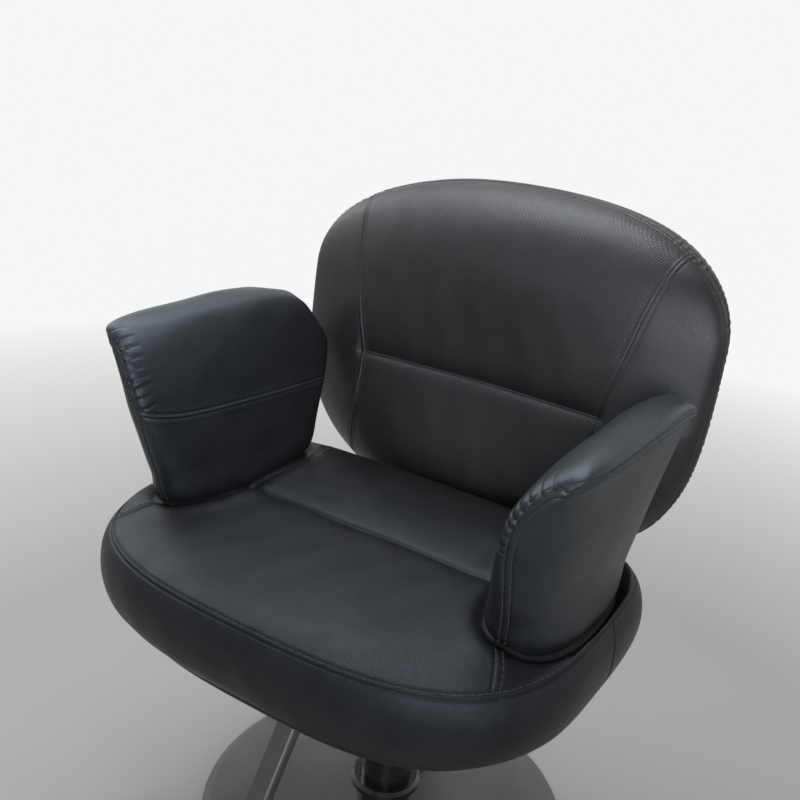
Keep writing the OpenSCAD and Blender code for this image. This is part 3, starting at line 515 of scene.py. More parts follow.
def sew(name, seams, form, rings, normals):
    """Thread of every row of stitches: each stitch is a short arch that dips into the leather."""
    place, height, girth = np.array(STITCH_SECTIONS).T[:, :, None]
    turns = np.linspace(0, 2 * np.pi, 6, endpoint=False)
    forward = 0.66 * form.pitch * place[..., None]
    upward = form.thread * (height + girth * np.sin(turns))[..., None]
    sideways = form.thread * (girth * np.cos(turns))[..., None]
    skin, ups = rings.reshape(-1, 3), normals.reshape(-1, 3)
    stitches = []
    for seam in seams:
        if not seam.stitches:
            continue
        some = box_round(skin, seam.line, 0.5 * seam.beside)
        tree = tree_of(skin[some])
        count = max(2, int(seam.reach[-1] / form.pitch))
        at = (np.arange(count) + 0.5) * seam.reach[-1] / count
        k = np.clip(np.searchsorted(seam.reach, at), 0, len(seam.line) - 1)
        for row in seam.stitches:
            centre = seam.line[k] + seam.across[k] * row
            close = some[nearest(tree, centre)]
            up = ups[close]
            centre = centre - up * ((centre - skin[close]) * up).sum(1, keepdims=True)
            centre = centre + up * form.thread * 0.35
            c, u, along = (v[:, None, None] for v in (centre, up, seam.along[k]))
            stitches.append(c + along * forward + u * upward + np.cross(u, along) * sideways)
    stitches = np.concatenate(stitches)
    number, rows, count = stitches.shape[:3]
    first = np.arange(number)[:, None, None] * rows * count
    ends = np.stack([np.arange(count)[::-1], np.arange(count) + (rows - 1) * count])
    faces = [(f + first).reshape(-1, f.shape[1]) for f in (grid(rows, count), ends)]
    return piece_of(name, stitches.reshape(-1, 3), *faces)


def mirrored(name, piece):
    """The same piece on the other side of the chair."""
    mesh = piece.data.copy()
    mesh.transform(Matrix.Scale(-1, 4, (1, 0, 0)))
    mesh.flip_normals()
    return link(name, mesh)


# The chair's own surfaces

# How square the low and high corners of an outline are, and the power and exponent of a cushion's dome
SEAT_CORNERS, SEAT_DOME = (3.0, 5.0), (4, 1 / 1.6)
BACK_CORNERS, BACK_DOME = (3.4, 2.3), (3.4, 1 / 2.2)

# Share of the band's height, of its swell and of its turn under the seat
SEAT_BAND = [
    (0, 0, 0), (0.05, 0.32, 0), (0.15, 0.66, 0), (0.4, 1, 0), (0.62, 0.9, 0), (0.78, 0.52, 0),
    (0.9, 0, 0.08), (0.98, 0, 0.4), (1, 0, 1),
]
# Share of the outline, of the cover's thickness, and how far it follows the cushion's edge
REAR_COVER = [
    (0.04, 1, 0), (0.4, 1, 0), (0.75, 1, 0), (0.88, 0.93, 0), (0.95, 0.75, 0), (0.99, 0.45, 0),
    (1.004, 0.2, 0.2), (1.0, 0.02, 1),
]
# Height; lean of the front and rear; flare of the inner and outer face; place of the nose and the tail
# from the inner to the outer face; how square the inner and outer front corners are
ARM_LEVELS = [
    (0.13, 0.18, 0.2, 0.07, -0.08, 0.42, 0.36, 2.4, 2.5),
    (0.25, 0.4, 0.38, 0.15, 0.06, 0.38, 0.34, 2.6, 2.5),
    (0.39, 0.64, 0.6, 0.25, 0.27, 0.34, 0.34, 3.0, 2.5),
    (0.55, 0.89, 0.82, 0.37, 0.52, 0.3, 0.36, 3.6, 2.4),
    (0.69, 1, 0.93, 0.48, 0.72, 0.28, 0.42, 4.4, 2.4),
    (0.79, 1, 0.89, 0.59, 0.88, 0.32, 0.5, 4.6, 2.4),
    (0.86, 0.93, 0.85, 0.69, 1, 0.4, 0.58, 4.2, 2.4),
    (0.92, 0.82, 0.74, 0.8, 1.1, 0.55, 0.66, 3.7, 2.4),
    (0.96, 0.7, 0.54, 0.9, 1.12, 0.66, 0.72, 3.2, 2.4),
    (0.985, 0.42, 0.2, 1.01, 0.95, 0.66, 0.72, 2.8, 2.4),
    (1, -0.4, -0.4, 1.16, 0.3, 0.5, 0.5, 2.4, 2.4),
]
# Places of the seams, for the sitter's left side
SEAT_PANEL_SEAM = [
    (0.2912, -0.2855), (0.28, -0.259), (0.26, -0.221), (0.238, -0.165), (0.2165, -0.107),
    (0.2045, -0.05), (0.2035, 0.02), (0.2065, 0.065), (0.2115, 0.095),
]
SEAT_CORNER_SEAM = [(0.338, -0.068, 0.53), (0.352, -0.078, 0.5), (0.348, -0.088, 0.444)]
BACK_PANEL_SEAM = [
    (0.214, 0.52), (0.206, 0.56), (0.1995, 0.62), (0.1975, 0.67), (0.1985, 0.693), (0.2035, 0.72),
    (0.2125, 0.751), (0.2205, 0.782), (0.2285, 0.815), (0.235, 0.845), (0.2415, 0.872), (0.2495, 0.9),
    (0.257, 0.919), (0.2665, 0.934),
]
ARM_FRONT_SEAM = [
    (0.262, -0.217, 0.552), (0.267, -0.230, 0.599), (0.270, -0.243, 0.638), (0.272, -0.255, 0.681),
    (0.275, -0.260, 0.702), (0.280, -0.262, 0.723), (0.287, -0.263, 0.740), (0.295, -0.261, 0.754),
    (0.304, -0.258, 0.765), (0.318, -0.251, 0.7745), (0.331, -0.2405, 0.7805), (0.341, -0.226, 0.7835),
    (0.347, -0.206, 0.7845), (0.3495, -0.18, 0.7845), (0.351, -0.14, 0.784), (0.351, -0.09, 0.783),
    (0.351, -0.03, 0.779), (0.351, 0.03, 0.772), (0.350, 0.08, 0.762), (0.344, 0.12, 0.75),
    (0.335, 0.145, 0.74),
]
ARM_INNER_SEAM = [
    (0.264, -0.257, 0.691), (0.256, -0.246, 0.687), (0.25, -0.222, 0.681), (0.25, -0.16, 0.671),
    (0.25, -0.1, 0.665), (0.25, -0.03, 0.659), (0.25, 0.04, 0.654), (0.252, 0.1, 0.65),
    (0.266, 0.125, 0.648),
]


def seat_outline(form):
    """Rear and front ends, widest place, half width and corners of the seat's edge."""
    return -form.front, -form.crease, form.rear, form.half_width, *SEAT_CORNERS


def seat_height(x, y, form, arms=None):
    """Height of the seat's top before the seams are pressed in; arms is the distance to the arms' feet."""
    share = outline_share(x, y, *seat_outline(form))
    wander = 0.0014 * np.sin(21 * x + 0.8) + 0.0006 * np.sin(53 * x)
    behind = y + form.crease - wander
    away = rounded_distance(behind, 0.0013)
    rear = 0.74 * np.exp(-away / 0.036) + 0.26 * np.exp(-away / 0.003)
    fold = np.where(behind < 0, np.exp(-away / 0.011), rear) * dome(np.abs(x) / 0.222, 10)
    height = form.seam_height + form.rise * dome(share, *SEAT_DOME) - form.crease_depth * fold
    if arms is not None:
        press = form.pinch * (bell(arms, 0, 0.0098) - 0.18 * bell(arms, 0.026, 0.014))
        outside = 0.5 + 0.5 * ease(np.abs(x), 0.265, 0.05)
        height = height - press * outside * ease(1 - share, 0, 0.02)
    return height


def arm_foot_loop(form, count=240):
    """Loop where an arm meets the seat."""
    return arm_loop(form.front, form.rear, form.inner, form.outer - 0.003, 0.48, 0.4, 2.4, 2.5, count)


def arm_distance(x, y, form):
    """Distance in plan from the loop where the nearer arm meets the seat."""
    loop = arm_foot_loop(form)
    tree = tree_of(np.column_stack([loop, np.zeros(len(loop))]))
    flat = np.column_stack([np.abs(x).ravel(), y.ravel(), np.zeros(x.size)])
    return np.fromiter((tree.find(p)[2] for p in flat), float, len(flat)).reshape(x.shape)


def arm_loop(front, rear, inner, outer, nose_share, tail_share, inner_power, outer_power, count):
    """Plan of an arm's section, from its nose round the outer face to its tail and back."""
    middle = -front + (rear + front) * 0.52
    nose, tail = inner + (outer - inner) * nose_share, inner + (outer - inner) * tail_share
    faces = []
    for edge, front_power, rear_power, way in ((outer, outer_power, 2.3, 1), (inner, inner_power, 4.0, -1)):
        y, share = half_round(-front, middle, rear, front_power, rear_power, 2001)
        spine = nose + (tail - nose) * (y + front) / (rear + front)
        face = np.stack([spine + (edge - spine) * share, y], 1)[::way]
        faces.append(even_line(face, count // 2 + 1)[:-1])
    return np.vstack(faces)


def arm_rings(form, seat, spacing, count):
    """Rings of the left arm's surface from the top down to the seat."""
    foot = arm_foot_loop(form, count)
    keys = [np.column_stack([foot, seat_height(*foot.T, seat, np.zeros(count)) + 0.0005])]
    middle = (form.rear - form.front) / 2
    behind = form.rear + form.rear_lean - middle
    for height, front, rear, inner, outer, *corners in ARM_LEVELS:
        loop = arm_loop(
            form.front + form.front_lean * front,
            form.rear + form.rear_lean * rear,
            form.inner + form.inner_flare * inner,
            form.outer + form.outer_flare * outer,
            *corners,
            count,
        )
        x, y = loop.T
        fall = form.top_drop * ease(y, middle, behind, None) ** 2
        fall += 0.007 * ease(y, 0.05, 0.1, 1.2) ** 2 + 0.05 * ease(y, 0.1, 0.05, 1.2) ** 2
        fall += 0.016 * ease(y, 0.03, 0.08, 1.4) ** 2 * ease(x, 0.32, 0.02)
        z = form.base_height + (form.top_height - form.base_height) * height - fall * height**4
        keys.append(np.column_stack([loop, z]))
    top = np.mean(keys[-1], axis=0)
    keys.append(top + (keys[-1] - top) * 0.3 + [0, 0, 0.0006])
    keys = np.array(keys)
    steps = np.linalg.norm(np.diff(keys, axis=0), axis=2).mean(1)
    rings = even_rows(np.concatenate([[0], np.cumsum(steps)]), keys, spacing)[::-1]
    above = rings[:, :, 2] - rings[-1, :, 2]
    tuck = 0.0012 * bell(above, 0.026, 0.014) - 0.006 * bell(above, 0, 0.009)
    return rings + surface_normals(rings) * tuck[:, :, None]


def back_outline(form):
    """Low and high ends, widest place, half width and corners of the back's edge."""
    return form.bottom, form.widest, form.top, form.half_width, *BACK_CORNERS


def back_edge(x, z, form):
    """Place of the back's edge surface, which curves forward at the sides."""
    return form.plane + (z - form.widest) * math.tan(form.tilt) - form.wrap * (x / form.half_width) ** 2


def back_face(x, z, form):
    """Place of the back's padded face before the seams are pressed in."""
    share = outline_share(x, z, *back_outline(form))
    down = np.clip(form.crease - z, 0, None) / (form.crease - form.bottom)
    beside = (x / form.half_width) ** 2
    swell = dome(share, 3.2 + 3.6 * down * (1 - beside) ** 2, 1 / (2.2 - 1.6 * down * beside))
    above = z - form.crease
    hollow = dome(x / (1.2 * form.panel), 2, 1.5) * dome(above / (1.25 * (form.top - form.widest)), 2, 2)
    away = rounded_distance(above, 0.0018)
    fold = np.exp(-away / np.where(above > 0, 0.02, 0.0045)) * dome(np.abs(x) / (form.panel * 1.02), 12)
    edge = back_edge(x, z, form) - form.edge
    face = form.face + above * math.tan(form.face_tilt) + form.hollow * hollow
    return edge - (edge - face) * swell + form.crease_depth * fold


def back_rings(loop, form, levels):
    """Rings behind the back's face: each level is a share of the outline and a place behind its edge."""
    rings = []
    for share, behind in levels:
        x, z = shrunk(loop, share, form.crease)
        rings.append(np.column_stack([x, back_edge(x, z, form) + behind, z]))
    return rings


def back_line(points, form):
    """A smooth line on the back's face through places given across and up."""
    x, z = smooth_line(points).T
    return np.column_stack([x, back_face(x, z, form), z])


# Materials


def scaled(tone, share):
    """A colour made lighter or darker."""
    return tuple(share * c for c in tone)


class Nodes:
    """Short way to wire the nodes of a material or a world."""

    def __init__(self, owner, coordinates="Object"):
        owner.use_nodes = True
        self.owner, self.tree = owner, owner.node_tree
        self.shader = self.tree.nodes.get("Principled BSDF")
        self.place = self.add("ShaderNodeTexCoord").outputs[coordinates]

    def add(self, kind, links=(), **settings):
        """A node with its links; each setting is a property or an input of the node."""
        node = self.tree.nodes.new(kind)
        for key, value in settings.items():
            if key in node.bl_rna.properties:
                setattr(node, key, value)
            else:
                node.inputs[key.replace("_", " ")].default_value = value
        for socket, source in dict(links).items():
            self.tree.links.new(source, node.inputs[socket])
        return node

    def noise(self, scale, detail=3.0, roughness=0.55, distortion=0.0, stretch=None):
        place = self.place
        if stretch:
            place = self.add("ShaderNodeMapping", {"Vector": place}, Scale=stretch).outputs[0]
        settings = {"Scale": scale, "Detail": detail, "Roughness": roughness, "Distortion": distortion}
        return self.add("ShaderNodeTexNoise", {"Vector": place}, **settings).outputs["Fac"]

    def spread(self, source, low, high, from_low=0.3, from_high=0.7, curve="LINEAR"):
        """Values of a source from one range put into another."""
        ends = {"From_Min": from_low, "From_Max": from_high, "To_Min": low, "To_Max": high}
        node = self.add("ShaderNodeMapRange", {"Value": source}, interpolation_type=curve, **ends)
        return node.outputs["Result"]

    def math(self, operation, first, second=None):
        node = self.add("ShaderNodeMath", operation=operation)
        for socket, value in zip(node.inputs, (first, second)):
            if isinstance(value, (int, float)):
                socket.default_value = value
            elif value is not None:
                self.tree.links.new(value, socket)
        return node.outputs[0]

    def wave(self, axis, pitch):
        """Sine wave along an axis."""
        split = self.add("ShaderNodeSeparateXYZ", {"Vector": self.place})
        return self.math("SINE", self.math("MULTIPLY", split.outputs[axis], 2 * math.pi / pitch))

    def ramp(self, source, low, high, from_place=0.35, to_place=0.65):
        node = self.add("ShaderNodeValToRGB", {"Fac": source})
        for stop, place, tone in zip(node.color_ramp.elements, (from_place, to_place), (low, high)):
            stop.position, stop.color = place, (*tone, 1)
        return node.outputs["Color"]

    def bump(self, height, distance, strength=1.0, before=None):
        links = {"Height": height} if before is None else {"Height": height, "Normal": before}
        return self.add("ShaderNodeBump", links, Distance=distance, Strength=strength).outputs["Normal"]

    def finish(self, colour, roughness, normal, **settings):
        for socket, source in (("Base Color", colour), ("Roughness", roughness), ("Normal", normal)):
            self.tree.links.new(source, self.shader.inputs[socket])
        for key, value in settings.items():
            self.shader.inputs[key.replace("_", " ")].default_value = value
        return self.owner


def material(name):
    """The nodes of a new material."""
    return Nodes(bpy.data.materials.new(name))


def leather(name, look, gloss, gleam, weave=False):
    """Coated leather with fine pebbles and soft pulls; weave adds the embossed middle panel."""
    n = material(name)
    tone = n.ramp(n.noise(24, 3), look.tone, look.worn)
    rough = n.spread(n.noise(150, 4), look.roughness - 0.03, look.roughness + 0.05)
    normal = n.bump(n.noise(90, 2, 0.45), 0.0004, 0.3)
    cells = {"feature": "DISTANCE_TO_EDGE", "Scale": 1 / look.grain}
    pebbles = n.add("ShaderNodeTexVoronoi", {"Vector": n.place}, **cells).outputs["Distance"]
    normal = n.bump(n.spread(pebbles, 0, 1, 0, 0.25), 0.00016, 0.6, normal)
    normal = n.bump(n.noise(1500, 2), 0.00005, 0.4, normal)
    if weave:
        dots = n.math("MULTIPLY", n.wave("X", look.weave), n.wave("Z", look.weave))
        dots = n.spread(dots, 0, 1, -0.6, 0.6)
        panel = n.add("ShaderNodeAttribute", attribute_name="panel").outputs["Fac"]
        normal = n.bump(n.math("MULTIPLY", dots, panel), 0.0004, 0.5, normal)
    return n.finish(tone, rough, normal, Specular_IOR_Level=gloss, Specular_Tint=(*gleam, 1.0))


def thread_finish(name, look):
    """Twisted thread, a little lighter than the leather."""
    n = material(name)
    twist = n.add("ShaderNodeTexWave", {"Vector": n.place}, Scale=900.0, Distortion=2.0).outputs["Fac"]
    tone = n.ramp(n.noise(300, 2), look.thread, scaled(look.thread, 1.7))
    return n.finish(tone, n.spread(n.noise(500), 0.42, 0.6), n.bump(twist, 0.0002, 0.5), Sheen_Weight=0.15)


def coated(name, tone, roughness, orange_peel=0.00004, coat=0.0):
    """Painted metal with a fine orange peel, faint rubs and dust."""
    n = material(name)
    return n.finish(
        n.ramp(n.noise(9, 5), tone, [min(1.0, c * 1.35 + 0.002) for c in tone]),
        n.spread(n.noise(26, 6, 0.65), roughness - 0.05, roughness + 0.07),
        n.bump(n.noise(700, 2), orange_peel, 0.6, n.bump(n.noise(40, 3), 0.0004, 0.12)),
        Coat_Weight=coat,
        Coat_Roughness=0.12,
    )


def bare_metal(name, tone, roughness):
    """Turned or brushed metal with fine streaks and light stains."""
    n = material(name)
    lines = n.noise(420, 3, 0.5, stretch=(1, 1, 14))
    tone = n.ramp(n.noise(30, 4), scaled(tone, 0.82), tone)
    rough = n.spread(lines, roughness - 0.06, roughness + 0.08)
    return n.finish(tone, rough, n.bump(lines, 0.00003, 0.5), Metallic=1.0)


def moulded(name, tone, roughness, ribs=0.0):
    """Rubber with a dull skin and, where asked, grip ribs of a given pitch."""
    n = material(name)
    normal = n.bump(n.noise(900, 3), 0.00008, 0.7)
    if ribs:
        normal = n.bump(n.spread(n.wave("X", ribs), 0, 1, -0.6, 0.6), 0.0009, 0.9, normal)
    rough = n.spread(n.noise(90, 4), roughness - 0.06, roughness + 0.06)
    return n.finish(n.ramp(n.noise(40, 4), tone, scaled(tone, 1.8)), rough, normal)


def plywood(name, tone):
    """Plywood with grain on its faces and plies on its edges."""
    n = material(name)
    grain = n.noise(22, 6, 0.5, 0.8, (1, 9, 9))
    tone = n.ramp(grain, scaled(tone, 0.62), tone)
    return n.finish(tone, n.spread(grain, 0.55, 0.75), n.bump(grain, 0.0003, 0.5))


def dust_cloth(name, tone, pitch=0.0016):
    """Thin woven cloth under the seat."""
    n = material(name)
    weave = n.bump(n.math("MULTIPLY", n.wave("X", pitch), n.wave("Y", pitch)), 0.0003, 0.6)
    tone = n.ramp(n.noise(60, 4), tone, scaled(tone, 1.9))
    return n.finish(tone, n.spread(n.noise(200), 0.8, 0.95), weave, Sheen_Weight=0.2)


def put_on(finish, *names):
    """Gives a finish to CAD nodes in their material slots."""
    for name in names:
        mesh = NODES[name].data
        mesh.materials.clear()
        mesh.materials.append(finish)


def settle(piece, body, slot, finish, *replaced):
    """A new piece gets its finish and its body, and hides the nodes that it stands for; slot is not used."""
    piece.data.materials.append(finish)
    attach(piece, body)
    if replaced:
        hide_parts(*replaced)


def cover_cushion(name, node, fill, finish, rings, *ends, panel=None):
    """The leather over a cushion of the seat or the back."""
    piece = build_mesh(name, rings, *ends, panel=panel)
    settle(piece, "seat", "black_leather", finish, node)


def sew_cushion(name, seams, chair, rings, normals):
    """The thread in a cushion's seams."""
    thread = sew(name, seams, chair.stitch, rings, normals)
    settle(thread, "seat", "black_leather", thread_finish(name.replace("_", " "), chair.leather))


# Operators


class BARBER_CHAIR_OT_camera(bpy.types.Operator):
    """Camera at the photograph's viewing angle"""

    bl_idname = "barber_chair.camera"
    bl_label = "Camera"

    def execute(self, context):
        lens = bpy.data.cameras.new("camera")
        lens.sensor_width = 36.0
        lens.lens = 45.0
        camera = link("camera", lens)
        camera.location = (0.63983, -1.10189, 1.20504)
        camera.rotation_euler = [math.radians(a) for a in (68.6675, -4.5486, 33.1502)]
        context.scene.camera = camera
        context.scene.view_settings.view_transform = "Standard"
        return {"FINISHED"}


class BARBER_CHAIR_OT_seat(bpy.types.Operator):
    """Seat cushion with its crown, crease, side band, sewn edge and leather hem"""

    bl_idname = "barber_chair.seat"
    bl_label = "Seat cushion"

    def execute(self, context):
        chair = context.scene.barber_chair
        form, stitch = chair.seat, chair.stitch
        spacing, count = mesh_steps(stitch, 1.0)
        loop = outline_loop(*seat_outline(form), count)
        x, y = shrunk(loop, even_shares(0.3, form.rise, *SEAT_DOME, spacing), -form.crease)
        top = np.stack([x, y, seat_height(x, y, form, arm_distance(x, y, chair.arm))], 2)
        down, out, under = np.array(SEAT_BAND).T
        table = np.column_stack([form.band * down, form.swell * out - form.draw * under])
        down, out = even_rows(reaches(table), table, spacing)[1:].T
        grow = 1 + out / form.half_width
        grow = np.append(grow, grow[-1] * np.array([0.8, 0.5, 0.2]))
        band = level_rings(loop, grow, -form.crease, form.seam_height - np.append(down, [down[-1]] * 3))
        rings = np.vstack([top, band])
        normals = surface_normals(rings)
        rings = uneven(rings, normals)
        edge = level_rings(loop, [1], 0, form.seam_height)[0]
        edge = even_line(edge, int(2.0 / LINE_STEP), True)
        seams = [Seam(edge, rings, normals, single_seam(stitch, 1, 0.8), True)]
        for side in (1, -1):
            line = smooth_line(np.array(SEAT_PANEL_SEAM) * [side, 1])
            line = np.column_stack([line, seat_height(*line.T, form)])
            seams.append(Seam(line, rings, normals, double_seam(stitch.band, 0.0012)))
            corner = even_line(np.array(SEAT_CORNER_SEAM) * [side, 1, 1], 60)
            seams.append(Seam(corner, rings, normals, groove(stitch.groove, 0.0015)))
        rings = press_seams(rings, normals, seams)
        ends = [(0, -form.crease, z) for z in (rings[0, :, 2].mean(), rings[-1, 0, 2])]
        look = leather("seat leather", chair.leather, chair.leather.seat_gloss, chair.leather.gleam)
        cover_cushion("seat_leather", "seat_cushion", 0.8, look, rings, *ends)
        sew_cushion("seat_thread", seams, chair, rings, normals)
        self.hem(form, loop, look)
        return {"FINISHED"}

    def hem(self, form, loop, look, thickness=0.0028, count=26):
        """Leather turned under the seat board and tacked round the dust fabric."""
        low = form.seam_height - form.band
        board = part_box("seat_board")[0].z
        outer = [
            (0.906, low + 0.0004), (0.9065, low - 0.006), (0.906, board + 0.002),
            (0.901, board - 0.0012), (0.885, board - 0.0016), (0.868, board - 0.0014),
        ]
        outer = even_line(smooth_line(outer, 0.0006), count)
        inner = outer + np.column_stack([np.full(count, -thickness), np.linspace(0.0, 0.0006, count)])
        shares, heights = np.vstack([outer, inner[::-1], outer[:1]]).T
        piece = build_mesh("seat_hem", level_rings(loop, shares, -form.crease, heights))
        settle(piece, "seat", "black_leather", look)


class BARBER_CHAIR_OT_arms(bpy.types.Operator):
    """Both arm cushions with their sewn panels and the gathers at the front"""

    bl_idname = "barber_chair.arms"
    bl_label = "Arm cushions"

    def execute(self, context):
        chair = context.scene.barber_chair
        form, stitch = chair.arm, chair.stitch
        rings = arm_rings(form, chair.seat, *mesh_steps(stitch, 0.46, 0.85))
        normals = surface_normals(rings)
        rings = uneven(rings, normals, 0.0007)
        bands = ((ARM_FRONT_SEAM, stitch.band), (ARM_INNER_SEAM, 0.75 * stitch.band))
        seams = [Seam(smooth_line(line), rings, normals, double_seam(band)) for line, band in bands]
        rings = press_seams(self.gathers(rings, normals, seams[0], form), normals, seams)
        look = leather("arm leather", chair.leather, chair.leather.arm_gloss, chair.leather.gleam)
        left = build_mesh("left_arm_leather", rings, rings[0].mean(0) + [0, 0, 0.0002], rings[-1].mean(0))
        right = mirrored("right_arm_leather", left)
        for piece, node in ((left, "left_arm_cushion"), (right, "right_arm_cushion")):
            settle(piece, "seat", "black_leather", look, node)
        thread = sew("left_arm_thread", seams, stitch, rings, normals)
        look = thread_finish("arm thread", chair.leather)
        for piece in (thread, mirrored("right_arm_thread", thread)):
            settle(piece, "seat", "black_leather", look)
        return {"FINISHED"}

    def gathers(self, rings, normals, seam, form):
        """Short pleats that run out from the front seam where it turns over the top corner."""
        points, ups = rings.reshape(-1, 3).copy(), normals.reshape(-1, 3)
        some = box_round(points, seam.line, 0.05)
        at = nearest(seam.tree, points[some])
        inner_side = 1.0 if seam.across[len(seam.line) // 4, 0] < 0 else -1.0
        inward = seam.place_of(points[some], at)[0] * inner_side
        reach = seam.reach[at]
        place = reach + 0.0012 * np.sin(reach * 410) - 0.12 * inward
        along = ease(reach, 0.143, 0.01) * ease(-reach, -0.275, 0.03)
        fade = ease(inward, 0.003, 0.003) * np.clip(1 - inward / 0.031, 0, 1) ** 0.8 * along
        ridge = np.abs(np.sin(np.pi * place / form.gather_pitch)) ** 0.45 - 0.68
        lean = 0.8 + 0.2 * np.sin(reach * 171 + 1)
        points[some] += ups[some] * (form.gather_depth * lean * ridge * fade)[:, None]
        return points.reshape(rings.shape)


class BARBER_CHAIR_OT_back(bpy.types.Operator):
    """Back cushion with its woven middle panel, crease and sewn side panels"""

    bl_idname = "barber_chair.back"
    bl_label = "Back cushion"

    def execute(self, context):
        chair = context.scene.barber_chair
        form, stitch = chair.back, chair.stitch
        spacing, count = mesh_steps(stitch, 0.93)
        loop = outline_loop(*back_outline(form), count)
        x, z = shrunk(loop, even_shares(0.27, 0.12, *BACK_DOME, spacing), form.crease)
        face = np.stack([x, back_face(x, z, form), z], 2)
        rest, behind = [], -0.0004
        for depth, grow in ((0.25, 0.0012), (0.5, 0.0018), (0.75, 0.0016), (1.0, 0.0)):
            x, z = shrunk(loop, 1 + grow / form.half_width, form.crease)
            rest.append(np.column_stack([x, back_edge(*loop.T, form) - form.edge * (1 - depth), z]))
        rest += back_rings(loop, form, [(share, behind) for share in (0.96, 0.9, 0.6, 0.3)])
        rings = np.vstack([face, rest])
        normals = -surface_normals(rings)
        edge = len(face) - 1
        rings = uneven(pucker(rings, normals, loop, edge, edge + 5), normals)
        fold = back_line([(x, form.crease) for x in (-0.196, -0.1, 0.0, 0.1, 0.196)], form)
        rim = even_line(rings[edge], int(1.8 / LINE_STEP), True)
        seams = [Seam(fold, rings, normals, groove(0.0016, 0.0012))]
        seams.append(Seam(rim, rings, normals, groove(0.0018, 0.0016), True))
        for side in (1, -1):
            line = back_line(np.array(BACK_PANEL_SEAM) * [side, 1], form)
            seams.append(Seam(line, rings, normals, single_seam(stitch, -side, 0.7)))
        rings = press_seams(rings, normals, seams)
        widths, heights = np.array(BACK_PANEL_SEAM).T
        panel = ease(np.interp(rings[:, :, 2], heights, widths) - np.abs(rings[:, :, 0]), 0.0035, 0.002)
        panel[edge + 1 :] = 0
        places = (back_face(0.0, form.crease, form), back_edge(0.0, form.crease, form) + behind)
        ends = [(0, place, form.crease) for place in places]
        finish = chair.leather
        look = leather("back leather", finish, finish.back_gloss, finish.back_gleam, True)
        cover_cushion("back_leather", "back_cushion", 0.75, look, rings, *ends, panel=panel)
        sew_cushion("back_thread", seams, chair, rings, normals)
        return {"FINISHED"}


class BARBER_CHAIR_OT_cover(bpy.types.Operator):
    """Leather cover on the rear of the back, with its puckered edge and sewn rim"""

    bl_idname = "barber_chair.cover"
    bl_label = "Rear cover"

    def execute(self, context):
        chair = context.scene.barber_chair
        form, stitch = chair.back, chair.stitch
        spacing, count = mesh_steps(stitch, 0.93)
        loop = outline_loop(*back_outline(form), count)
        flat, inside = 0.175, 0.0126
        table = np.array(REAR_COVER)
        rows = even_rows(reaches(table[:, :2] * [0.3, form.cover]), table, spacing)
        rings = []
        for share, depth, blend in rows:
            x, z = shrunk(loop, share, form.crease)
            beside = np.clip(np.abs(x) - flat, 0, None) / (form.half_width - flat)
            rear = back_edge(0, z, form) - form.wrap * beside**2
            edge = back_edge(np.clip(x, -form.half_width, form.half_width), z, form)
            blend = np.clip(blend, 0, 1)
            rings.append(np.column_stack([x, rear * (1 - blend) + edge * blend + form.cover * depth, z]))
        hollow = [(0.97, 0.0006), (0.945, 0.0006), (0.94, 0.012), (0.6, inside), (0.3, inside)]
        rings = np.array(rings + back_rings(loop, form, hollow))
        normals = surface_normals(rings)
        side = int(np.searchsorted(rows[:, 0], 0.985))
        rings = pucker(rings, normals, loop, side, len(rows))
        rim = even_line(rings[side], int(1.8 / LINE_STEP), True)
        seams = [Seam(rim, rings, normals, single_seam(stitch), True)]
        rings = press_seams(rings, normals, seams)
        ends = [(0, back_edge(0, form.crease, form) + depth, form.crease) for depth in (form.cover, inside)]
        look = leather("cover leather", chair.leather, chair.leather.back_gloss, chair.leather.back_gleam)
        cover_cushion("back_cover_leather", "back_cover", 0.9, look, rings, *ends)
        sew_cushion("cover_thread", seams, chair, rings, normals)
        return {"FINISHED"}


class BARBER_CHAIR_OT_base(bpy.types.Operator):
    """Finishes of the base plate, its rubber pad and the pump"""

    bl_idname = "barber_chair.base"
    bl_label = "Base and pump"

    def execute(self, context):
        look = context.scene.barber_chair.metal
        gloss = coated("gloss black coat", look.gloss, 0.14, 0.00001, 0.3)
        machined = bare_metal("machined steel", look.steel, 0.34)
        put_on(coated("satin black coat", look.plate, 0.42), "base_plate")
        put_on(gloss, "pump_housing", "pump_collar", "pump_sleeve", "lift_head")
        put_on(moulded("pad rubber", look.rubber, 0.75), "floor_pad")
        put_on(machined, "pump_flange", "pump_cylinder", "piston", "flange_bolts", "pedal_pin")
        put_on(bare_metal("ground steel", scaled(look.steel, 1.5), 0.16), "piston_rod", "pump_plunger")
        put_on(bare_metal("bearing bronze", look.bronze, 0.3), "cylinder_gland", "thrust_washer")
        return {"FINISHED"}


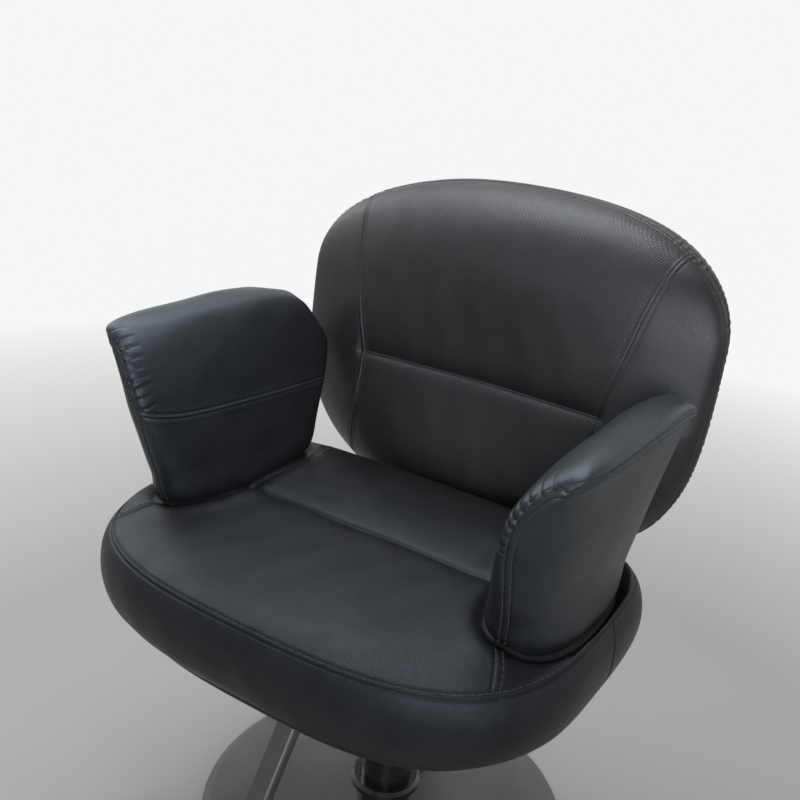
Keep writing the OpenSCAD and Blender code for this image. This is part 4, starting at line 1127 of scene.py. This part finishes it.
class BARBER_CHAIR_OT_pedal(bpy.types.Operator):
    """Finishes of the foot pedal and the coil spring under the plunger"""

    bl_idname = "barber_chair.pedal"
    bl_label = "Foot pedal"

    def execute(self, context):
        look = context.scene.barber_chair.metal
        put_on(coated("pedal coat", look.coat, 0.4), "pedal_lever")
        put_on(moulded("pedal rubber", look.rubber, 0.7, 0.006), "pedal_pad")
        self.spring(look)
        return {"FINISHED"}

    def spring(self, look, wire=0.0005, coils=3.5, stroke=0.005, clear=0.0001):
        """Coil that the plunger presses down."""
        low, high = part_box("plunger_spring")
        radius = (high.x - low.x) / 2 - 1.5 * wire
        t = np.linspace(0, 1, 160)
        a = 2 * np.pi * coils * t
        rise = t - 0.06 * np.sin(2 * np.pi * t)
        z = low.z + wire + clear + (high.z - low.z - 2 * wire - 2 * clear) * rise
        path = np.column_stack([radius * np.cos(a), (low.y + high.y) / 2 + radius * np.sin(a), z])
        out = np.column_stack([np.cos(a), np.sin(a), np.zeros(len(a))])[:, None]
        b = np.linspace(0, 2 * np.pi, 10, endpoint=False)[None, ::-1, None]
        rings = path[:, None] + wire * (np.cos(b) * out + np.sin(b) * [0, 0, 1])
        piece = build_mesh("plunger_coil", rings, path[0], path[-1])
        settle(piece, "base", "steel", bare_metal("spring steel", look.steel, 0.3), "plunger_spring")
        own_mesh(piece)


class BARBER_CHAIR_OT_footrest(bpy.types.Operator):
    """Finishes of the footrest"""

    bl_idname = "barber_chair.footrest"
    bl_label = "Footrest"

    def execute(self, context):
        look = context.scene.barber_chair.metal
        coat = coated("footrest coat", look.coat, 0.4)
        put_on(coat, "footrest_bracket", "footrest_tube", "footrest_crossbar")
        put_on(moulded("grip rubber", look.rubber, 0.7, 0.007), "footrest_grips")
        put_on(moulded("cap rubber", look.rubber, 0.6), "crossbar_caps")
        return {"FINISHED"}


class BARBER_CHAIR_OT_frame(bpy.types.Operator):
    """Finishes of the boards, brackets, bars and bolts inside and under the seat"""

    bl_idname = "barber_chair.frame"
    bl_label = "Frame and boards"

    def execute(self, context):
        look = context.scene.barber_chair.metal
        coat, zinc = coated("bracket coat", look.coat, 0.45), bare_metal("zinc bolts", look.steel, 0.3)
        put_on(coat, "seat_bracket", "left_arm_frame", "right_arm_frame", "left_back_bar", "right_back_bar")
        put_on(zinc, "bracket_bolts", "arm_bolts", "back_bolts", "bar_bolts", "footrest_bolts")
        put_on(plywood("plywood", look.wood), "seat_board", "back_board")
        put_on(dust_cloth("dust fabric", look.fabric), "underside_cover")
        return {"FINISHED"}


class BARBER_CHAIR_OT_stage(bpy.types.Operator):
    """Floor that turns into a pale backdrop, soft lamps and an even room light"""

    bl_idname = "barber_chair.stage"
    bl_label = "Stage"

    # Each lamp's place, the height on the pump axis that it is aimed at, and its size
    lamps = {
        "key": ((-0.5, 0.6, 3.0), 0.6, 1.8),
        "side": ((1.6, -2.4, 1.6), 0.75, 1.25),
        "left": ((-2.4, 0.3, 2.3), 0.6, 1.4),
    }

    def execute(self, context):
        form = context.scene.barber_chair.stage
        turns = np.linspace(0, 2 * np.pi, 96, endpoint=False)
        circle = np.column_stack([np.cos(turns), np.sin(turns)])
        rings = level_rings(circle, [0.6, 1.2, 2.5, 5.0, form.reach], 0, 0)
        floor = build_mesh("floor", rings, (0, 0, 0))
        floor.data.flip_normals()
        floor.data.materials.append(self.floor_paint(form))
        self.room(context, form)
        for name, (place, aim, size) in self.lamps.items():
            data = bpy.data.lights.new(name + " lamp", "AREA")
            data.size, data.energy = size, getattr(form, name)
            lamp = link(name + " lamp", data)
            lamp.location = place
            x, y, down = -place[0], -place[1], place[2] - aim
            lamp.rotation_euler = (math.atan2(math.hypot(x, y), down), 0, math.atan2(-x, y))
        return {"FINISHED"}

    def shown(self, n, direction, form):
        """Whether a ray sees the backdrop, how bright it is there, and whether the ray is the camera's."""
        path = n.add("ShaderNodeLightPath").outputs
        camera = path["Is Camera Ray"]
        sees = n.math("MAXIMUM", camera, path["Is Glossy Ray"])
        sees = n.math("MAXIMUM", sees, path["Is Transmission Ray"])
        upward = n.add("ShaderNodeSeparateXYZ", {0: direction}).outputs["Z"]
        strength = n.spread(upward, 1.0, form.ceiling, 0.2, 0.8, "SMOOTHSTEP")
        return sees, n.math("MAXIMUM", strength, camera), camera

    def floor_paint(self, form):
        """Floor paint that turns into the backdrop's colour away from the chair."""
        n = material("floor paint")
        tone = n.ramp(n.noise(3, 4), scaled(form.floor, 0.985), form.floor)
        paint = n.finish(tone, n.spread(n.noise(8, 4), 0.6, 0.7), n.bump(n.noise(240, 2), 0.0002, 0.2))
        away = n.add("ShaderNodeVectorMath", {0: n.place}, operation="LENGTH").outputs["Value"]
        far = n.spread(away, 0, 1, form.clear, 3 * form.clear)
        direction = n.add("ShaderNodeVectorMath", {0: n.place}, operation="NORMALIZE").outputs["Vector"]
        sees, strength, camera = self.shown(n, direction, form)
        strength = n.math("MULTIPLY", strength, n.spread(camera, form.far_floor, 1.0, 0, 1))
        backdrop = n.add("ShaderNodeEmission", {"Strength": strength}, Color=(*form.backdrop, 1.0))
        parts = {0: n.math("MULTIPLY", far, sees), 1: n.shader.outputs[0], 2: backdrop.outputs[0]}
        mix = n.add("ShaderNodeMixShader", parts)
        n.tree.links.new(mix.outputs[0], n.tree.nodes["Material Output"].inputs["Surface"])
        return paint

    def room(self, context, form):
        """Even light all round, with a pale backdrop that the camera and glossy surfaces see."""
        n = Nodes(bpy.data.worlds.new("room"), "Generated")
        light = n.tree.nodes["Background"]
        light.inputs["Color"].default_value = (1, 1, 1, 1)
        light.inputs["Strength"].default_value = form.room
        sees, strength, _ = self.shown(n, n.place, form)
        backdrop = n.add("ShaderNodeBackground", {"Strength": strength}, Color=(*form.backdrop, 1))
        mix = n.add("ShaderNodeMixShader", {0: sees, 1: light.outputs[0], 2: backdrop.outputs[0]})
        n.tree.links.new(mix.outputs[0], n.tree.nodes["World Output"].inputs["Surface"])
        context.scene.world = n.owner


class BARBER_CHAIR_PT_panel(bpy.types.Panel):
    """Lists the chair's pieces and its sizes"""

    bl_idname = "BARBER_CHAIR_PT_panel"
    bl_label = "Barber Chair"
    bl_space_type = "VIEW_3D"
    bl_region_type = "UI"
    bl_category = "Barber Chair"

    def draw(self, context):
        chair = context.scene.barber_chair
        for operator in OPERATORS:
            self.layout.operator(operator.bl_idname)
        for name in ("seat", "arm", "back", "stitch", "leather", "metal", "stage"):
            group = getattr(chair, name)
            box = self.layout.box()
            box.label(text=name.capitalize())
            for key in group.bl_rna.properties.keys():
                if key not in ("rna_type", "name"):
                    box.prop(group, key)


OPERATORS = (
    BARBER_CHAIR_OT_camera,
    BARBER_CHAIR_OT_seat,
    BARBER_CHAIR_OT_arms,
    BARBER_CHAIR_OT_back,
    BARBER_CHAIR_OT_cover,
    BARBER_CHAIR_OT_base,
    BARBER_CHAIR_OT_pedal,
    BARBER_CHAIR_OT_footrest,
    BARBER_CHAIR_OT_frame,
    BARBER_CHAIR_OT_stage,
)
GROUPS = (SeatForm, ArmForm, BackForm, StitchForm, LeatherFinish, MetalFinish, StageForm, ChairSettings)
CLASSES = (*GROUPS, *OPERATORS, BARBER_CHAIR_PT_panel)


def register():
    for cls in CLASSES:
        bpy.utils.register_class(cls)
    bpy.types.Scene.barber_chair = PointerProperty(type=ChairSettings)


def unregister():
    del bpy.types.Scene.barber_chair
    for cls in reversed(CLASSES):
        bpy.utils.unregister_class(cls)


def main():
    register()
    for operator in OPERATORS:
        group, name = operator.bl_idname.split(".")
        getattr(getattr(bpy.ops, group), name)()


if __name__ == "__main__":
    main()
